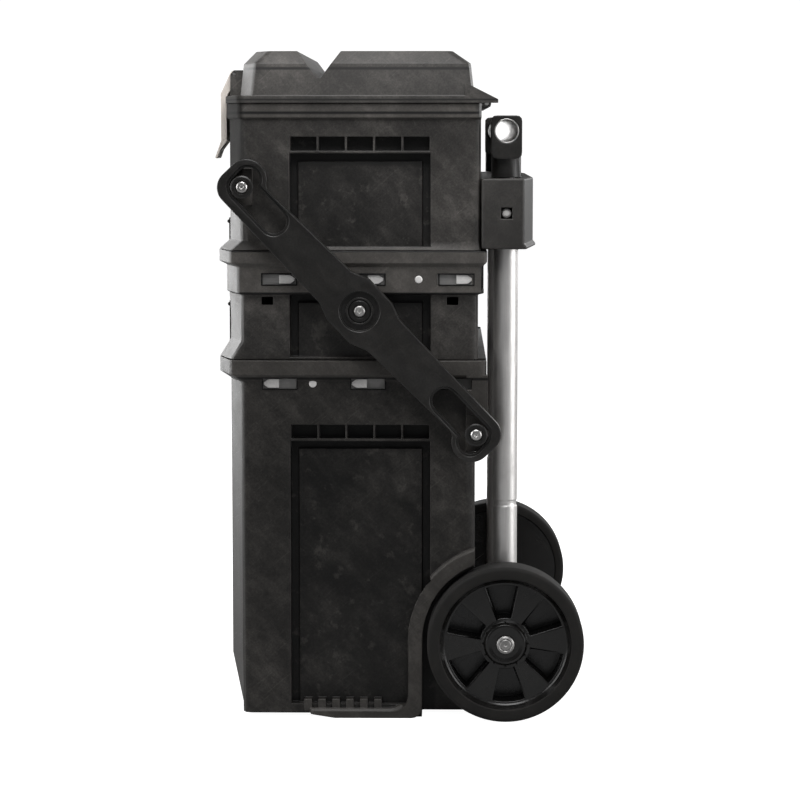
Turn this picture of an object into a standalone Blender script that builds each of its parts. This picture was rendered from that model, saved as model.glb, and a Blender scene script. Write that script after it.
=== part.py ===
"""Rolling toolbox: a deep wheeled bin, a sliding middle tray and a sliding upper box with a lid.

Metres, +Z up, +Y to the rear (the wheels and the handle), +X to the right-hand side.
The bin stands on the floor. The tray and the upper box slide to the rear on steel slides, and
two side levers with slotted ends keep them in step. The handle frame, the axle and the wheels
hang on the upper box, so they roll back with it.
"""
import math

import bpy
import bmesh
from mathutils import Matrix, Vector

# Gaps and overruns
seat_gap = 0.0003
slide_gap = 0.0005
cut_over = 0.008

# Whole object
half_width = 0.255
side_front_y = -0.171
front_y = -0.188
front_corner_width = 0.055
corner_radius = 0.009
plastic_wall = 0.003

# Bin
bin_rear_y = 0.086
bin_floor_z = 0.004
bin_top_z = 0.400
bin_toe_z = 0.063
bin_toe_set_back = 0.012
bin_floor_thick = 0.0035

# Rim that runs round the top of the bin, the tray and the upper box
rim_side_out = 0.0075
rim_front_out = 0.0125
rim_rear_out = 0.0125
rim_height = 0.020
rim_slope = 0.004

# Tray
tray_height = 0.120
tray_set_in = 0.0015
tray_rear_y = 0.089
tray_band_height = 0.0465
tray_band_out = 0.0065
tray_skirt_height = 0.020
tray_floor_thick = 0.003

# Upper box
box_height = 0.161
box_rear_y = 0.0918
box_skirt_height = 0.011
box_rim_height = 0.0155
box_rim_out = 0.004
box_rim_front_out = 0.003
box_floor_thick = 0.0035

# Lid
lid_rim_height = 0.008
lid_rim_out = 0.007
lid_rim_front_out = 0.0045
lid_rear_y = 0.0923
lid_dome_set_in = 0.005
lid_dome_front_y = -0.176
lid_dome_side_front_y = -0.160
lid_dome_rear_y = 0.0845
lid_shoulder_rise = 0.0430
lid_shoulder_in = 0.004
lid_crown_rise = 0.0570
lid_crown_in = 0.018
lid_crown_rear_in = 0.024
lid_wall = 0.003
groove_y = -0.0865
groove_half_width = 0.0235
groove_depth = 0.0300
groove_floor_half = 0.002
ridge_height = 0.0015
ridge_length_y = 0.011
ridge_half_x = 0.170
ridge_shares = (0.10, 0.27, 0.44, 0.64, 0.86)
lid_fin_thick = 0.0085
lid_fin_reach = 0.0180
lid_fin_base = 0.018
lid_fin_tip = 0.004

# Hand grips moulded in the sides of the bin and the upper box
grip_front_y = -0.1185
grip_rear_y = 0.0365
grip_height = 0.021
grip_lip = 0.0028
grip_pocket_count = 5
grip_rib = 0.0022
grip_pocket_depth = 0.013
recess_depth = 0.008
trough_depth = 0.006
trough_width = 0.009
bin_grip_top_z = 0.331
bin_recess_floor_z = 0.0145
box_grip_top_rise = 0.1275
box_recess_floor_rise = 0.004
tray_recess_floor_rise = 0.003

# Wheels and axle
wheel_radius = 0.0868
wheel_width = 0.045
wheel_over = 0.029
axle_y = 0.120
axle_radius = 0.006
tyre_thick = 0.0098
tyre_shoulder = 0.005
rim_barrel_thick = 0.004
rim_inset = 0.0015
back_thick = 0.003
web_face_inset = 0.011
hub_radius = 0.023
hub_face_inset = 0.0045
window_inner_radius = 0.0285
window_outer_radius = 0.0655
window_angle_share = 0.53
spoke_count = 6
first_spoke_deg = 3.5
bush_wall = 0.003
bush_flange_radius = 0.013
bush_flange_thick = 0.0022
cap_radius = 0.0098
cap_thick = 0.0042
cap_wall = 0.0012
arch_gap = 0.0057
arch_band = 0.018
arch_rise = 0.0085
arch_edge = 0.0028
well_depth = 0.0185

# Foot
foot_front_y = -0.072
foot_ramp = 0.025
foot_fillet = 0.018
foot_heel = 0.012
foot_width = 0.050
foot_top_z = 0.0105
foot_tooth_count = 6
foot_tooth_width = 0.0085
foot_tooth_height = 0.006
foot_tooth_pitch = 0.0156
foot_tooth_first_y = -0.1039

# Handle frame
tube_inset = 0.0335
tube_radius = 0.0135
tube_wall = 0.0014
tube_foot_drop = 0.0145
tube_top_drop = 0.006
tube_crimp_z = 0.236
tube_crimp_depth = 0.0008
tube_crimp_width = 0.005
plug_height = 0.006
inner_radius = 0.0117
inner_wall = 0.0014
inner_lowest_z = 0.130
handle_travel = 0.360
crossbar_radius = 0.0135
crossbar_wall = 0.0013
crossbar_rise = 0.052
bracket_half_y = 0.017
bracket_half_x = 0.0170
bracket_over = 0.0130
bracket_corner = 0.007
neck_radius = 0.0165
bracket_bottom_rise = 0.022
bracket_socket_rise = 0.034
housing_rise = 0.0015
housing_height = 0.0775
housing_over = 0.0005
housing_side_depth = 0.0475
housing_mid_depth = 0.0600
housing_mid_share = 0.587
housing_wall = 0.0035
housing_flange = 0.003
housing_flange_height = 0.003
housing_pocket_inset = 0.0635
housing_pocket_height = 0.066
button_rise = 0.0395
button_radius = 0.0035
button_window = 0.0090
button_travel = 0.004
button_dome = 0.0050

# Side levers and their bolts
pivot_y = -0.041
pivot_rise = 0.0551
pivot_half_y = 0.128
pivot_half_z = 0.1355
lever_gap = 0.0100
lever_thick = 0.0145
lever_low_v = -0.0255
lever_high_v = 0.0236
lever_tip_v = 0.0180
lever_tip_u = 0.1630
lever_corner_u = 0.1914
lever_corner_v = -0.0060
lever_corner_radius = 0.0195
lever_lobe_u = 0.1889
lever_lobe_v = 0.0095
lever_lobe_radius = 0.0220
lever_hub_half = 0.0320
lever_hub_length = 0.060
lever_hub_shares = (0.30, 0.62)
slot_middle_v = -0.0002
slot_half = 0.0138
slot_inner_u = 0.1357
slot_corner_u = 0.1863
nook_u = 0.1880
nook_v = 0.0105
nook_radius = 0.0130
nook_sweep = math.radians(165)
hub_dish_radius = 0.0210
hub_dish_depth = 0.0050
bolt_radius = 0.0035
bolt_depth = 0.022
bolt_flange_radius = 0.0125
bolt_flange_thick = 0.0016
bolt_head_radius = 0.0066
bolt_head_thick = 0.0014
boss_radius = 0.0175
boss_block_half = 0.020
boss_block_over = 0.014

# Steel slides
rail_height = 0.020
rail_depth = 0.0110
rail_wall = 0.0018
middle_wall = 0.0013
runner_web = 0.0020
runner_flange = 0.0115
bin_rail_z = 0.374
tray_rail_rise = 0.0890
slide_front_y = -0.160
slide_rear_y = 0.0845
window_height = 0.0120
window_length = 0.0380
window_front_y = -0.1490
window_middle_y = -0.0515
window_rear_y = 0.0440
tray_slot_rise = 0.0605
tray_slot_height = 0.009
tray_slot_length = 0.0125
tray_slot_front_y = -0.1497
tray_slot_rear_y = 0.0545

# Latches
latch_half_x = 0.026
latch_share = 0.75
latch_thick = 0.0028
latch_barrel_radius = 0.0042
latch_pin_radius = 0.0018
latch_ear_thick = 0.004
lid_latch_pivot_y = -0.1845
lid_latch_pivot_rise = 0.0330
lid_latch_face_y = -0.1985
lid_latch_knee_drop = 0.022
lid_latch_foot_drop = 0.075
lid_latch_lip_drop = 0.094
lid_latch_lip_y = -0.2055
lid_latch_flange = 0.0022
lid_latch_flange_gap = 0.0007
catch_height = 0.010
catch_half_x = 0.018
stack_latch_half_x = 0.045
stack_pivot_y = -0.2006
tray_latch_height = 0.062
box_latch_height = 0.036
bead_radius = 0.0022
hook_reach = 0.0045
lid_catch_depth = 0.0035
lid_hook_gap = 0.0006

# Lid hinge
hinge_y = 0.0985
hinge_pin_radius = 0.0022
knuckle_radius = 0.0050
knuckle_length = 0.046
knuckle_gap = 0.0006
knuckle_count = 9

# Heights worked out from the stack
tray_bottom_z = bin_top_z + slide_gap
tray_top_z = tray_bottom_z + tray_height
box_bottom_z = tray_top_z + slide_gap
box_top_z = box_bottom_z + box_height
lid_bottom_z = box_top_z + slide_gap
axle_z = wheel_radius
pivot_z = tray_bottom_z + pivot_rise
lever_lean = math.atan2(pivot_half_y, pivot_half_z)
front_flat_half = half_width - front_corner_width
latch_x = front_flat_half * latch_share
tray_half_width = half_width - tray_set_in
lid_dome_half = half_width - lid_dome_set_in
lever_inner_x = half_width + lever_gap
wheel_face_x = half_width + wheel_over
well_inner_x = half_width - well_depth
foot_inner_x = half_width - foot_width
window_front_ys = (window_front_y, window_middle_y, window_rear_y)
housing_half_x = half_width + housing_over
tube_x = housing_half_x - tube_inset
housing_pocket_half_x = housing_half_x - housing_pocket_inset
housing_mid_half_x = housing_half_x * housing_mid_share
housing_bottom_z = box_bottom_z + housing_rise
housing_top_z = housing_bottom_z + housing_height
housing_front_y = box_rear_y + seat_gap
tube_top_z = housing_top_z - tube_top_drop
button_z = housing_bottom_z + button_rise
wheel_inner_x = wheel_face_x - wheel_width
hinge_z = box_top_z + slide_gap / 2
sides = (("right", 1), ("left", -1))


def collection(name):
    """A new collection in the scene."""
    made = bpy.data.collections.new(name)
    bpy.context.scene.collection.children.link(made)
    return made


def material(name, colour, roughness, metallic=0.0):
    """A Principled material."""
    made = bpy.data.materials.new(name)
    made.use_nodes = True
    shader = made.node_tree.nodes["Principled BSDF"]
    shader.inputs["Base Color"].default_value = (*colour, 1.0)
    shader.inputs["Roughness"].default_value = roughness
    shader.inputs["Metallic"].default_value = metallic
    return made


def add_object(name, mesh, finish=None, target=None):
    """Link a mesh as an object and give it its material."""
    made = bpy.data.objects.new(name, mesh)
    (target or parts).objects.link(made)
    if finish:
        mesh.materials.append(finish)
    return made


def from_bmesh(name, shape, finish=None, target=None):
    """Turn a bmesh into an object with its faces pointing out."""
    bmesh.ops.recalc_face_normals(shape, faces=shape.faces)
    mesh = bpy.data.meshes.new(name)
    shape.to_mesh(mesh)
    shape.free()
    return add_object(name, mesh, finish, target)


def placed(first, second, along, axis):
    """A point from its two places in a section and its place along the section's axis."""
    if axis == "X":
        return (along, first, second)
    if axis == "Y":
        return (first, along, second)
    return (first, second, along)


def loft(name, levels, axis="Z", finish=None, target=None):
    """A closed solid through sections of equal point counts, each at its own place on an axis."""
    shape = bmesh.new()
    rings = []
    for along, outline in levels:
        rings.append([shape.verts.new(placed(a, b, along, axis)) for a, b in outline])
    shape.faces.new(list(reversed(rings[0])))
    shape.faces.new(rings[-1])
    count = len(rings[0])
    for lower, upper in zip(rings, rings[1:]):
        for index in range(count):
            after = (index + 1) % count
            shape.faces.new((lower[index], lower[after], upper[after], upper[index]))
    return from_bmesh(name, shape, finish, target)


def bar(name, outline, start, end, axis, finish=None, target=None):
    """A straight piece of one section."""
    return loft(name, [(start, outline), (end, outline)], axis, finish, target)


def block(name, x_range, y_range, z_range, finish=None, target=None):
    """A box between two places on each axis."""
    shape = bmesh.new()
    bmesh.ops.create_cube(shape, size=1.0)
    low = Vector((x_range[0], y_range[0], z_range[0]))
    high = Vector((x_range[1], y_range[1], z_range[1]))
    size = high - low
    fit = Matrix.Translation((low + high) / 2) @ Matrix.Diagonal((*size, 1.0))
    bmesh.ops.transform(shape, matrix=fit, verts=shape.verts)
    return from_bmesh(name, shape, finish, target)


def rounded(points, radius, steps=2):
    """An outline whose corners are arcs."""
    made = []
    for index, here in enumerate(points):
        before = Vector(points[index - 1]) - Vector(here)
        after = Vector(points[(index + 1) % len(points)]) - Vector(here)
        before.normalize()
        after.normalize()
        half = before.angle(after) / 2
        middle = (before + after).normalized()
        centre = Vector(here) + middle * (radius / math.sin(half))
        tangent = radius / math.tan(half)
        start = Vector(here) + before * tangent - centre
        end = Vector(here) + after * tangent - centre
        turn = start.angle_signed(end)
        for step in range(steps + 1):
            angle = -turn * step / steps
            c, s = math.cos(angle), math.sin(angle)
            spot = centre + Vector((start.x * c - start.y * s, start.x * s + start.y * c))
            made.append((spot.x, spot.y))
    return made


def circle(centre, radius, steps=20):
    """An outline of equal steps round a circle."""
    turns = [2 * math.pi * step / steps for step in range(steps)]
    return [(centre[0] + radius * math.cos(t), centre[1] + radius * math.sin(t)) for t in turns]


def arc(centre, radius, start, end, steps):
    """Points along an arc between two angles in radians."""
    turns = [start + (end - start) * step / steps for step in range(steps + 1)]
    return [(centre[0] + radius * math.cos(t), centre[1] + radius * math.sin(t)) for t in turns]


def rectangle(first_range, second_range):
    """The outline of a rectangle."""
    return [
        (first_range[0], second_range[0]), (first_range[1], second_range[0]),
        (first_range[1], second_range[1]), (first_range[0], second_range[1]),
    ]


def rod(name, radius, start, end, axis, centre, finish=None, target=None, steps=20):
    """A solid round piece along an axis."""
    return bar(name, circle(centre, radius, steps), start, end, axis, finish, target)


def turned(name, profile, finish=None, target=None, steps=40, axis="X", place=(0, 0, 0)):
    """A closed profile of (radius, height) turned about an axis."""
    shape = bmesh.new()
    verts = [shape.verts.new((radius, 0, height)) for radius, height in profile]
    for index, vert in enumerate(verts):
        after = verts[(index + 1) % len(verts)]
        if max(vert.co.x, after.co.x) > 0:
            shape.edges.new((vert, after))
    bmesh.ops.spin(
        shape, geom=shape.verts[:] + shape.edges[:], cent=(0, 0, 0), axis=(0, 0, 1),
        angle=2 * math.pi, steps=steps, use_merge=True, use_duplicate=False,
    )
    bmesh.ops.remove_doubles(shape, verts=shape.verts, dist=seat_gap / 10)
    if axis == "X":
        turn = Matrix.Rotation(math.pi / 2, 4, "Y")
    elif axis == "Y":
        turn = Matrix.Rotation(-math.pi / 2, 4, "X")
    else:
        turn = Matrix.Identity(4)
    bmesh.ops.transform(shape, matrix=Matrix.Translation(place) @ turn, verts=shape.verts)
    return from_bmesh(name, shape, finish, target)


def plate(name, outline, holes, start, end, finish=None, target=None):
    """A flat plate in the YZ plane with holes, between two places on X."""
    curve = bpy.data.curves.new(name, "CURVE")
    curve.dimensions = "2D"
    curve.fill_mode = "BOTH"
    curve.extrude = abs(end - start) / 2
    for ring in [outline, *holes]:
        spline = curve.splines.new("POLY")
        spline.points.add(len(ring) - 1)
        for point, (a, b) in zip(spline.points, ring):
            point.co = (a, b, 0, 1)
        spline.use_cyclic_u = True
    holder = bpy.data.objects.new(name, curve)
    cutters.objects.link(holder)
    bpy.context.view_layer.update()
    graph = bpy.context.evaluated_depsgraph_get()
    mesh = bpy.data.meshes.new_from_object(holder.evaluated_get(graph))
    bpy.data.objects.remove(holder)
    bpy.data.curves.remove(curve)
    shape = bmesh.new()
    shape.from_mesh(mesh)
    bpy.data.meshes.remove(mesh)
    bmesh.ops.remove_doubles(shape, verts=shape.verts, dist=seat_gap / 100)
    stand = Matrix(((0, 0, 1, (start + end) / 2), (1, 0, 0, 0), (0, 1, 0, 0), (0, 0, 0, 1)))
    bmesh.ops.transform(shape, matrix=stand, verts=shape.verts)
    return from_bmesh(name, shape, finish, target)


def combine(piece, tool, operation="DIFFERENCE"):
    """Cut one solid from another, or join one to it."""
    step = piece.modifiers.new(operation.title(), "BOOLEAN")
    step.operation = operation
    step.object = tool
    tool.hide_render = True
    tool.display_type = "WIRE"
    if tool.name in parts.objects:
        parts.objects.unlink(tool)
        cutters.objects.link(tool)


def cut(piece, *tools):
    """Cut solids from a piece."""
    for tool in tools:
        combine(piece, tool)


def join(piece, *tools):
    """Join solids to a piece."""
    for tool in tools:
        combine(piece, tool, "UNION")


def soften(piece, width, segments=1, angle=40):
    """Round the sharp edges of a piece."""
    step = piece.modifiers.new("Bevel", "BEVEL")
    step.width = width
    step.segments = segments
    step.limit_method = "ANGLE"
    step.angle_limit = math.radians(angle)


def smooth(piece, angle=35):
    """Shade round faces smooth and leave the sharp edges sharp."""
    piece.data.shade_smooth()
    piece.data.set_sharp_from_angle(angle=math.radians(angle))


def joint_empty(name, place, parent=None):
    """An empty on a joint's axis that carries the moving pieces."""
    made = bpy.data.objects.new(name, None)
    made.empty_display_size = tube_radius
    parts.objects.link(made)
    made.location = place
    if parent:
        made.parent = parent
        made.matrix_parent_inverse = Matrix.Translation(-joint_places[parent.name])
    joint_places[name] = Vector(place)
    return made


def carry(empty, *pieces):
    """Hang pieces on a joint's empty without moving them."""
    for piece in pieces:
        piece.parent = empty
        piece.matrix_parent_inverse = Matrix.Translation(-joint_places[empty.name])


def plan(half, front, rear, drop=None, flat=None, radius=corner_radius, rear_radius=None):
    """The outline seen from above: square at the rear, with slanted corners at the front."""
    drop = side_front_y - front_y if drop is None else drop
    flat = front_flat_half if flat is None else flat
    points = [
        (half, front + drop), (half, rear), (-half, rear),
        (-half, front + drop), (-flat, front), (flat, front),
    ]
    return rounded(points, radius)


def grown(y_range, z_range, by):
    """Two ranges made larger by the same amount all round."""
    return (y_range[0] - by, y_range[1] + by), (z_range[0] - by, z_range[1] + by)


def side_blocks(name, x_range, y_range, z_range, sign, finish=None):
    """A block on one side of the object."""
    x_low, x_high = sorted((sign * x_range[0], sign * x_range[1]))
    return block(name, (x_low, x_high), y_range, z_range, finish, cutters)


def trough_bands(top_z, floor_z, grow):
    """The ranges of the three deeper bands at the sides and the top of a recess."""
    front, rear = grip_front_y - grow, grip_rear_y + grow
    return [
        ((front, grip_front_y + trough_width + grow), (floor_z - grow, top_z + grow)),
        ((grip_rear_y - trough_width - grow, rear), (floor_z - grow, top_z + grow)),
        ((front, rear), (top_z - trough_width - grow, top_z + grow)),
    ]


def trough_cuts(name, side_x, top_z, floor_z, sign):
    """The deeper bands that frame the raised panel of a recess."""
    bands = trough_bands(top_z, floor_z, 0)
    return [side_blocks(
        f"{name}_trough_{index + 1}", (side_x - recess_depth - trough_depth, side_x + cut_over),
        y_range, z_range, sign,
    ) for index, (y_range, z_range) in enumerate(bands)]


def trough_backing(name, side_x, top_z, floor_z, sign):
    """The wall behind the deeper bands, kept out of the hollow."""
    depth = recess_depth + trough_depth + plastic_wall
    bands = trough_bands(top_z, floor_z, plastic_wall)
    return [side_blocks(
        f"{name}_trough_back_{index + 1}", (side_x - depth, side_x), y_range, z_range, sign,
    ) for index, (y_range, z_range) in enumerate(bands)]


def grip_cuts(name, top_z, floor_z, sign):
    """The recess below a hand grip, and the pockets of the grip itself."""
    outer = (half_width - recess_depth, half_width + cut_over)
    recess_top = top_z - grip_height
    tools = [side_blocks(
        f"{name}_recess", outer, (grip_front_y, grip_rear_y), (floor_z, recess_top), sign,
    )]
    pitch = (grip_rear_y - grip_front_y) / grip_pocket_count
    for index in range(grip_pocket_count):
        start = grip_front_y + pitch * index + grip_rib / 2
        tools.append(side_blocks(
            f"{name}_pocket_{index + 1}", (half_width - grip_pocket_depth, half_width + cut_over),
            (start, start + pitch - grip_rib), (recess_top + grip_lip, top_z - grip_lip), sign,
        ))
    return tools + trough_cuts(name, half_width, recess_top, floor_z, sign)


def grip_backing(name, top_z, floor_z, sign):
    """The wall behind the grip and its recess, kept out of the hollow."""
    wide_y, wide_z = grown((grip_front_y, grip_rear_y), (floor_z, top_z), plastic_wall)
    deep_z = (top_z - grip_height - plastic_wall, top_z + plastic_wall)
    return [
        side_blocks(
            f"{name}_recess_back", (half_width - recess_depth - plastic_wall, half_width),
            wide_y, wide_z, sign,
        ),
        side_blocks(
            f"{name}_pocket_back", (half_width - grip_pocket_depth - plastic_wall, half_width),
            wide_y, deep_z, sign,
        ),
        *trough_backing(name, half_width, top_z - grip_height, floor_z, sign),
    ]


def keyhole(name, radius, x_range, sign, floor_z):
    """The space round a wheel: a disc, open below and to the rear."""
    steps = 16
    top = arc((axle_y, axle_z), radius, math.pi, math.pi / 2, steps)
    outline = [(axle_y - radius, floor_z), *top, (axle_y + radius, axle_z + radius)]
    outline.append((axle_y + radius, floor_z))
    x_low, x_high = sorted((sign * x_range[0], sign * x_range[1]))
    return bar(name, outline, x_low, x_high, "X", None, cutters)


def arch_outline(inner, outer, drop=0):
    """The raised band round a wheel well, from the foot up to the rear of the bin."""
    outer -= drop
    steps = 10
    end_outer = math.acos((bin_rear_y - axle_y) / outer)
    end_inner = math.acos((bin_rear_y - axle_y) / inner)
    up = arc((axle_y, axle_z), outer, math.pi, end_outer, steps)
    back = arc((axle_y, axle_z), inner, end_inner, math.pi, steps)
    top_z = foot_top_z - drop
    front = foot_front_y + drop
    bend = (axle_y - outer - foot_fillet, top_z + foot_fillet)
    heel = (axle_y - inner - foot_heel, foot_heel)
    return [
        (front, 0), (front - foot_ramp, bin_floor_z), (front - foot_ramp, top_z),
        *arc(bend, foot_fillet, -math.pi / 2, 0, 5), *up, *back,
        *arc(heel, foot_heel, 0, -math.pi / 2, 4),
    ]


def make_bin():
    """The deep lower bin with its wheel wells, grips, feet and bolt bosses."""
    body = plan(half_width, front_y, bin_rear_y)
    toe = plan(half_width, front_y + bin_toe_set_back, bin_rear_y, drop=rim_slope)
    rim = plan(half_width + rim_side_out, front_y - rim_front_out, bin_rear_y + rim_rear_out)
    rim_low = bin_top_z - rim_height
    piece = loft("lower_bin", [
        (bin_floor_z, toe), (bin_toe_z, body), (rim_low - rim_slope, body),
        (rim_low + rim_slope, rim), (bin_top_z, rim),
    ], finish=shell_black)
    inner_half = half_width - plastic_wall
    inner = plan(inner_half, front_y + plastic_wall, bin_rear_y - plastic_wall)
    inner_toe = plan(
        inner_half, front_y + bin_toe_set_back + plastic_wall, bin_rear_y - plastic_wall,
        drop=rim_slope,
    )
    hollow = loft("bin_hollow", [
        (bin_floor_z + bin_floor_thick, inner_toe), (bin_toe_z, inner),
        (bin_top_z + cut_over, inner),
    ], target=cutters)
    arch_inner = wheel_radius + arch_gap
    for side, sign in sides:
        backs = grip_backing(f"bin_{side}", bin_grip_top_z, bin_recess_floor_z, sign)
        well_back = keyhole(
            f"bin_{side}_well_back", arch_inner + plastic_wall,
            (well_inner_x - plastic_wall, half_width), sign, 0,
        )
        boss_back = side_blocks(
            f"bin_{side}_boss_back", (half_width - bolt_depth, half_width),
            (bin_rear_y - boss_block_half, bin_rear_y),
            (pivot_z - pivot_half_z - boss_block_half, pivot_z - pivot_half_z + boss_block_half),
            sign,
        )
        cut(hollow, *backs, well_back, boss_back)
    cut(piece, hollow)
    for side, sign in sides:
        arch_outer = arch_inner + arch_band
        band = loft(f"bin_{side}_arch", [
            (sign * (half_width - plastic_wall), arch_outline(arch_inner, arch_outer)),
            (sign * (half_width + arch_rise - arch_edge), arch_outline(arch_inner, arch_outer)),
            (sign * (half_width + arch_rise), arch_outline(arch_inner, arch_outer, arch_edge)),
        ], "X", None, cutters)
        foot = side_blocks(
            f"bin_{side}_foot", (foot_inner_x, half_width),
            (foot_front_y, axle_y - arch_inner), (0, bin_floor_z + bin_floor_thick / 2), sign,
        )
        bolt_z = pivot_z - pivot_half_z
        boss_y = (bin_rear_y - boss_block_half / 2, bin_rear_y + boss_block_over)
        boss = side_blocks(
            f"bin_{side}_boss", (half_width - bolt_depth, lever_inner_x - seat_gap), boss_y,
            (bolt_z - boss_block_half, bolt_z + boss_block_half), sign,
        )
        post = side_blocks(
            f"bin_{side}_post", (half_width - plastic_wall / 2, half_width + rim_side_out), boss_y,
            (bolt_z, rim_low + rim_slope), sign,
        )
        join(piece, band, foot, boss, post)
        for index in range(foot_tooth_count):
            start = foot_tooth_first_y + foot_tooth_pitch * index
            tooth = side_blocks(
                f"bin_{side}_tooth_{index + 1}",
                (half_width - recess_depth - plastic_wall / 2, half_width + arch_rise / 2),
                (start, start + foot_tooth_width),
                (bin_floor_z + bin_floor_thick, bin_recess_floor_z + foot_tooth_height), sign,
            )
            teeth.append((piece, tooth))
        cut(piece, *grip_cuts(f"bin_{side}", bin_grip_top_z, bin_recess_floor_z, sign))
        well = keyhole(
            f"bin_{side}_well", arch_inner, (well_inner_x, half_width + 2 * cut_over), sign,
            -cut_over,
        )
        bolt_hole = rod(
            f"bin_{side}_bolt_hole", bolt_radius + seat_gap,
            sign * (half_width - bolt_depth + plastic_wall), sign * (lever_inner_x + cut_over),
            "X", (pivot_y + pivot_half_y, pivot_z - pivot_half_z), None, cutters, 16,
        )
        cut(piece, well, bolt_hole)
        for index, start in enumerate(window_front_ys):
            cut(piece, side_blocks(
                f"bin_{side}_window_{index + 1}", (inner_half - cut_over / 2, half_width + cut_over),
                (start, start + window_length),
                (bin_rail_z - window_height / 2, bin_rail_z + window_height / 2), sign,
            ))
        cut(piece, slide_notch(f"bin_{side}_notch", inner_half, bin_rear_y, bin_rail_z,
                               bin_top_z, sign))
    for owner, tooth in teeth:
        join(owner, tooth)
    return piece


def slide_notch(name, wall_x, rear_y, rail_z, top_z, sign):
    """The notch in a rear wall that lets a runner and its middle member slide out."""
    inner = wall_x - rail_depth - runner_web - runner_flange - 2 * slide_gap
    return side_blocks(
        name, (inner, wall_x), (rear_y - 2 * corner_radius, rear_y + rim_rear_out + cut_over),
        (rail_z - rail_height / 2 - slide_gap, top_z + cut_over), sign,
    )


def make_tray():
    """The shallow middle tray."""
    body = plan(tray_half_width, front_y, tray_rear_y)
    skirt = plan(tray_half_width, front_y - rim_front_out, tray_rear_y)
    band_half = tray_half_width + tray_band_out
    band = plan(band_half, front_y - rim_front_out / 3, tray_rear_y + rim_rear_out / 2)
    rim = plan(band_half + rim_slope, front_y - rim_front_out, tray_rear_y + rim_rear_out * 0.8)
    band_z = tray_top_z - tray_band_height
    rim_z = tray_top_z - rim_height * 0.65
    piece = loft("middle_tray", [
        (tray_bottom_z, skirt), (tray_bottom_z + tray_skirt_height, body),
        (band_z - rim_slope / 2, body), (band_z, band), (rim_z - rim_slope, band),
        (rim_z, rim), (tray_top_z, rim),
    ], finish=shell_black)
    inner_low = plan(
        tray_half_width - plastic_wall, front_y + plastic_wall, tray_rear_y - plastic_wall)
    inner_high = plan(
        band_half - plastic_wall, front_y + plastic_wall, tray_rear_y - plastic_wall)
    hollow = loft("tray_hollow", [
        (tray_bottom_z + tray_floor_thick, inner_low), (band_z, inner_low),
        (band_z + plastic_wall, inner_high), (tray_top_z + cut_over, inner_high),
    ], target=cutters)
    floor_z = tray_bottom_z + tray_recess_floor_rise
    recess_top = band_z - plastic_wall / 2
    inner_x = tray_half_width - recess_depth
    for side, sign in sides:
        cut(hollow, side_blocks(
            f"tray_{side}_recess_back", (inner_x - plastic_wall, tray_half_width),
            (grip_front_y - plastic_wall, grip_rear_y + plastic_wall),
            (floor_z - plastic_wall, band_z), sign,
        ), *trough_backing(
            f"tray_{side}", tray_half_width, recess_top, floor_z, sign,
        ), rod(
            f"tray_{side}_boss_back", boss_radius, sign * (tray_half_width - bolt_depth),
            sign * tray_half_width, "X", (pivot_y, pivot_z), None, cutters,
        ))
    cut(piece, hollow)
    for side, sign in sides:
        cut(piece, side_blocks(
            f"tray_{side}_recess", (inner_x, tray_half_width + cut_over),
            (grip_front_y, grip_rear_y), (floor_z, recess_top), sign,
        ), *trough_cuts(f"tray_{side}", tray_half_width, recess_top, floor_z, sign))
        join(piece, rod(
            f"tray_{side}_boss", boss_radius, sign * (inner_x - plastic_wall / 2),
            sign * (lever_inner_x - seat_gap), "X", (pivot_y, pivot_z), None, cutters,
        ))
        bolt_hole = rod(
            f"tray_{side}_bolt_hole", bolt_radius + seat_gap,
            sign * (tray_half_width - bolt_depth + plastic_wall),
            sign * (lever_inner_x + cut_over), "X", (pivot_y, pivot_z), None, cutters, 16,
        )
        cut(piece, bolt_hole)
        rail_z = tray_bottom_z + tray_rail_rise
        for index, start in enumerate(window_front_ys):
            cut(piece, side_blocks(
                f"tray_{side}_window_{index + 1}",
                (band_half - plastic_wall - cut_over / 2, band_half + cut_over),
                (start, start + window_length),
                (rail_z - window_height / 2, rail_z + window_height / 2), sign,
            ))
        slot_z = tray_bottom_z + tray_slot_rise
        for index, start in enumerate((tray_slot_front_y, tray_slot_rear_y)):
            cut(piece, side_blocks(
                f"tray_{side}_slot_{index + 1}",
                (tray_half_width - cut_over, tray_half_width + cut_over),
                (start, start + tray_slot_length), (slot_z, slot_z + tray_slot_height), sign,
            ))
        cut(piece, slide_notch(f"tray_{side}_notch", band_half - plastic_wall, tray_rear_y,
                               rail_z, tray_top_z, sign))
    return piece


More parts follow.
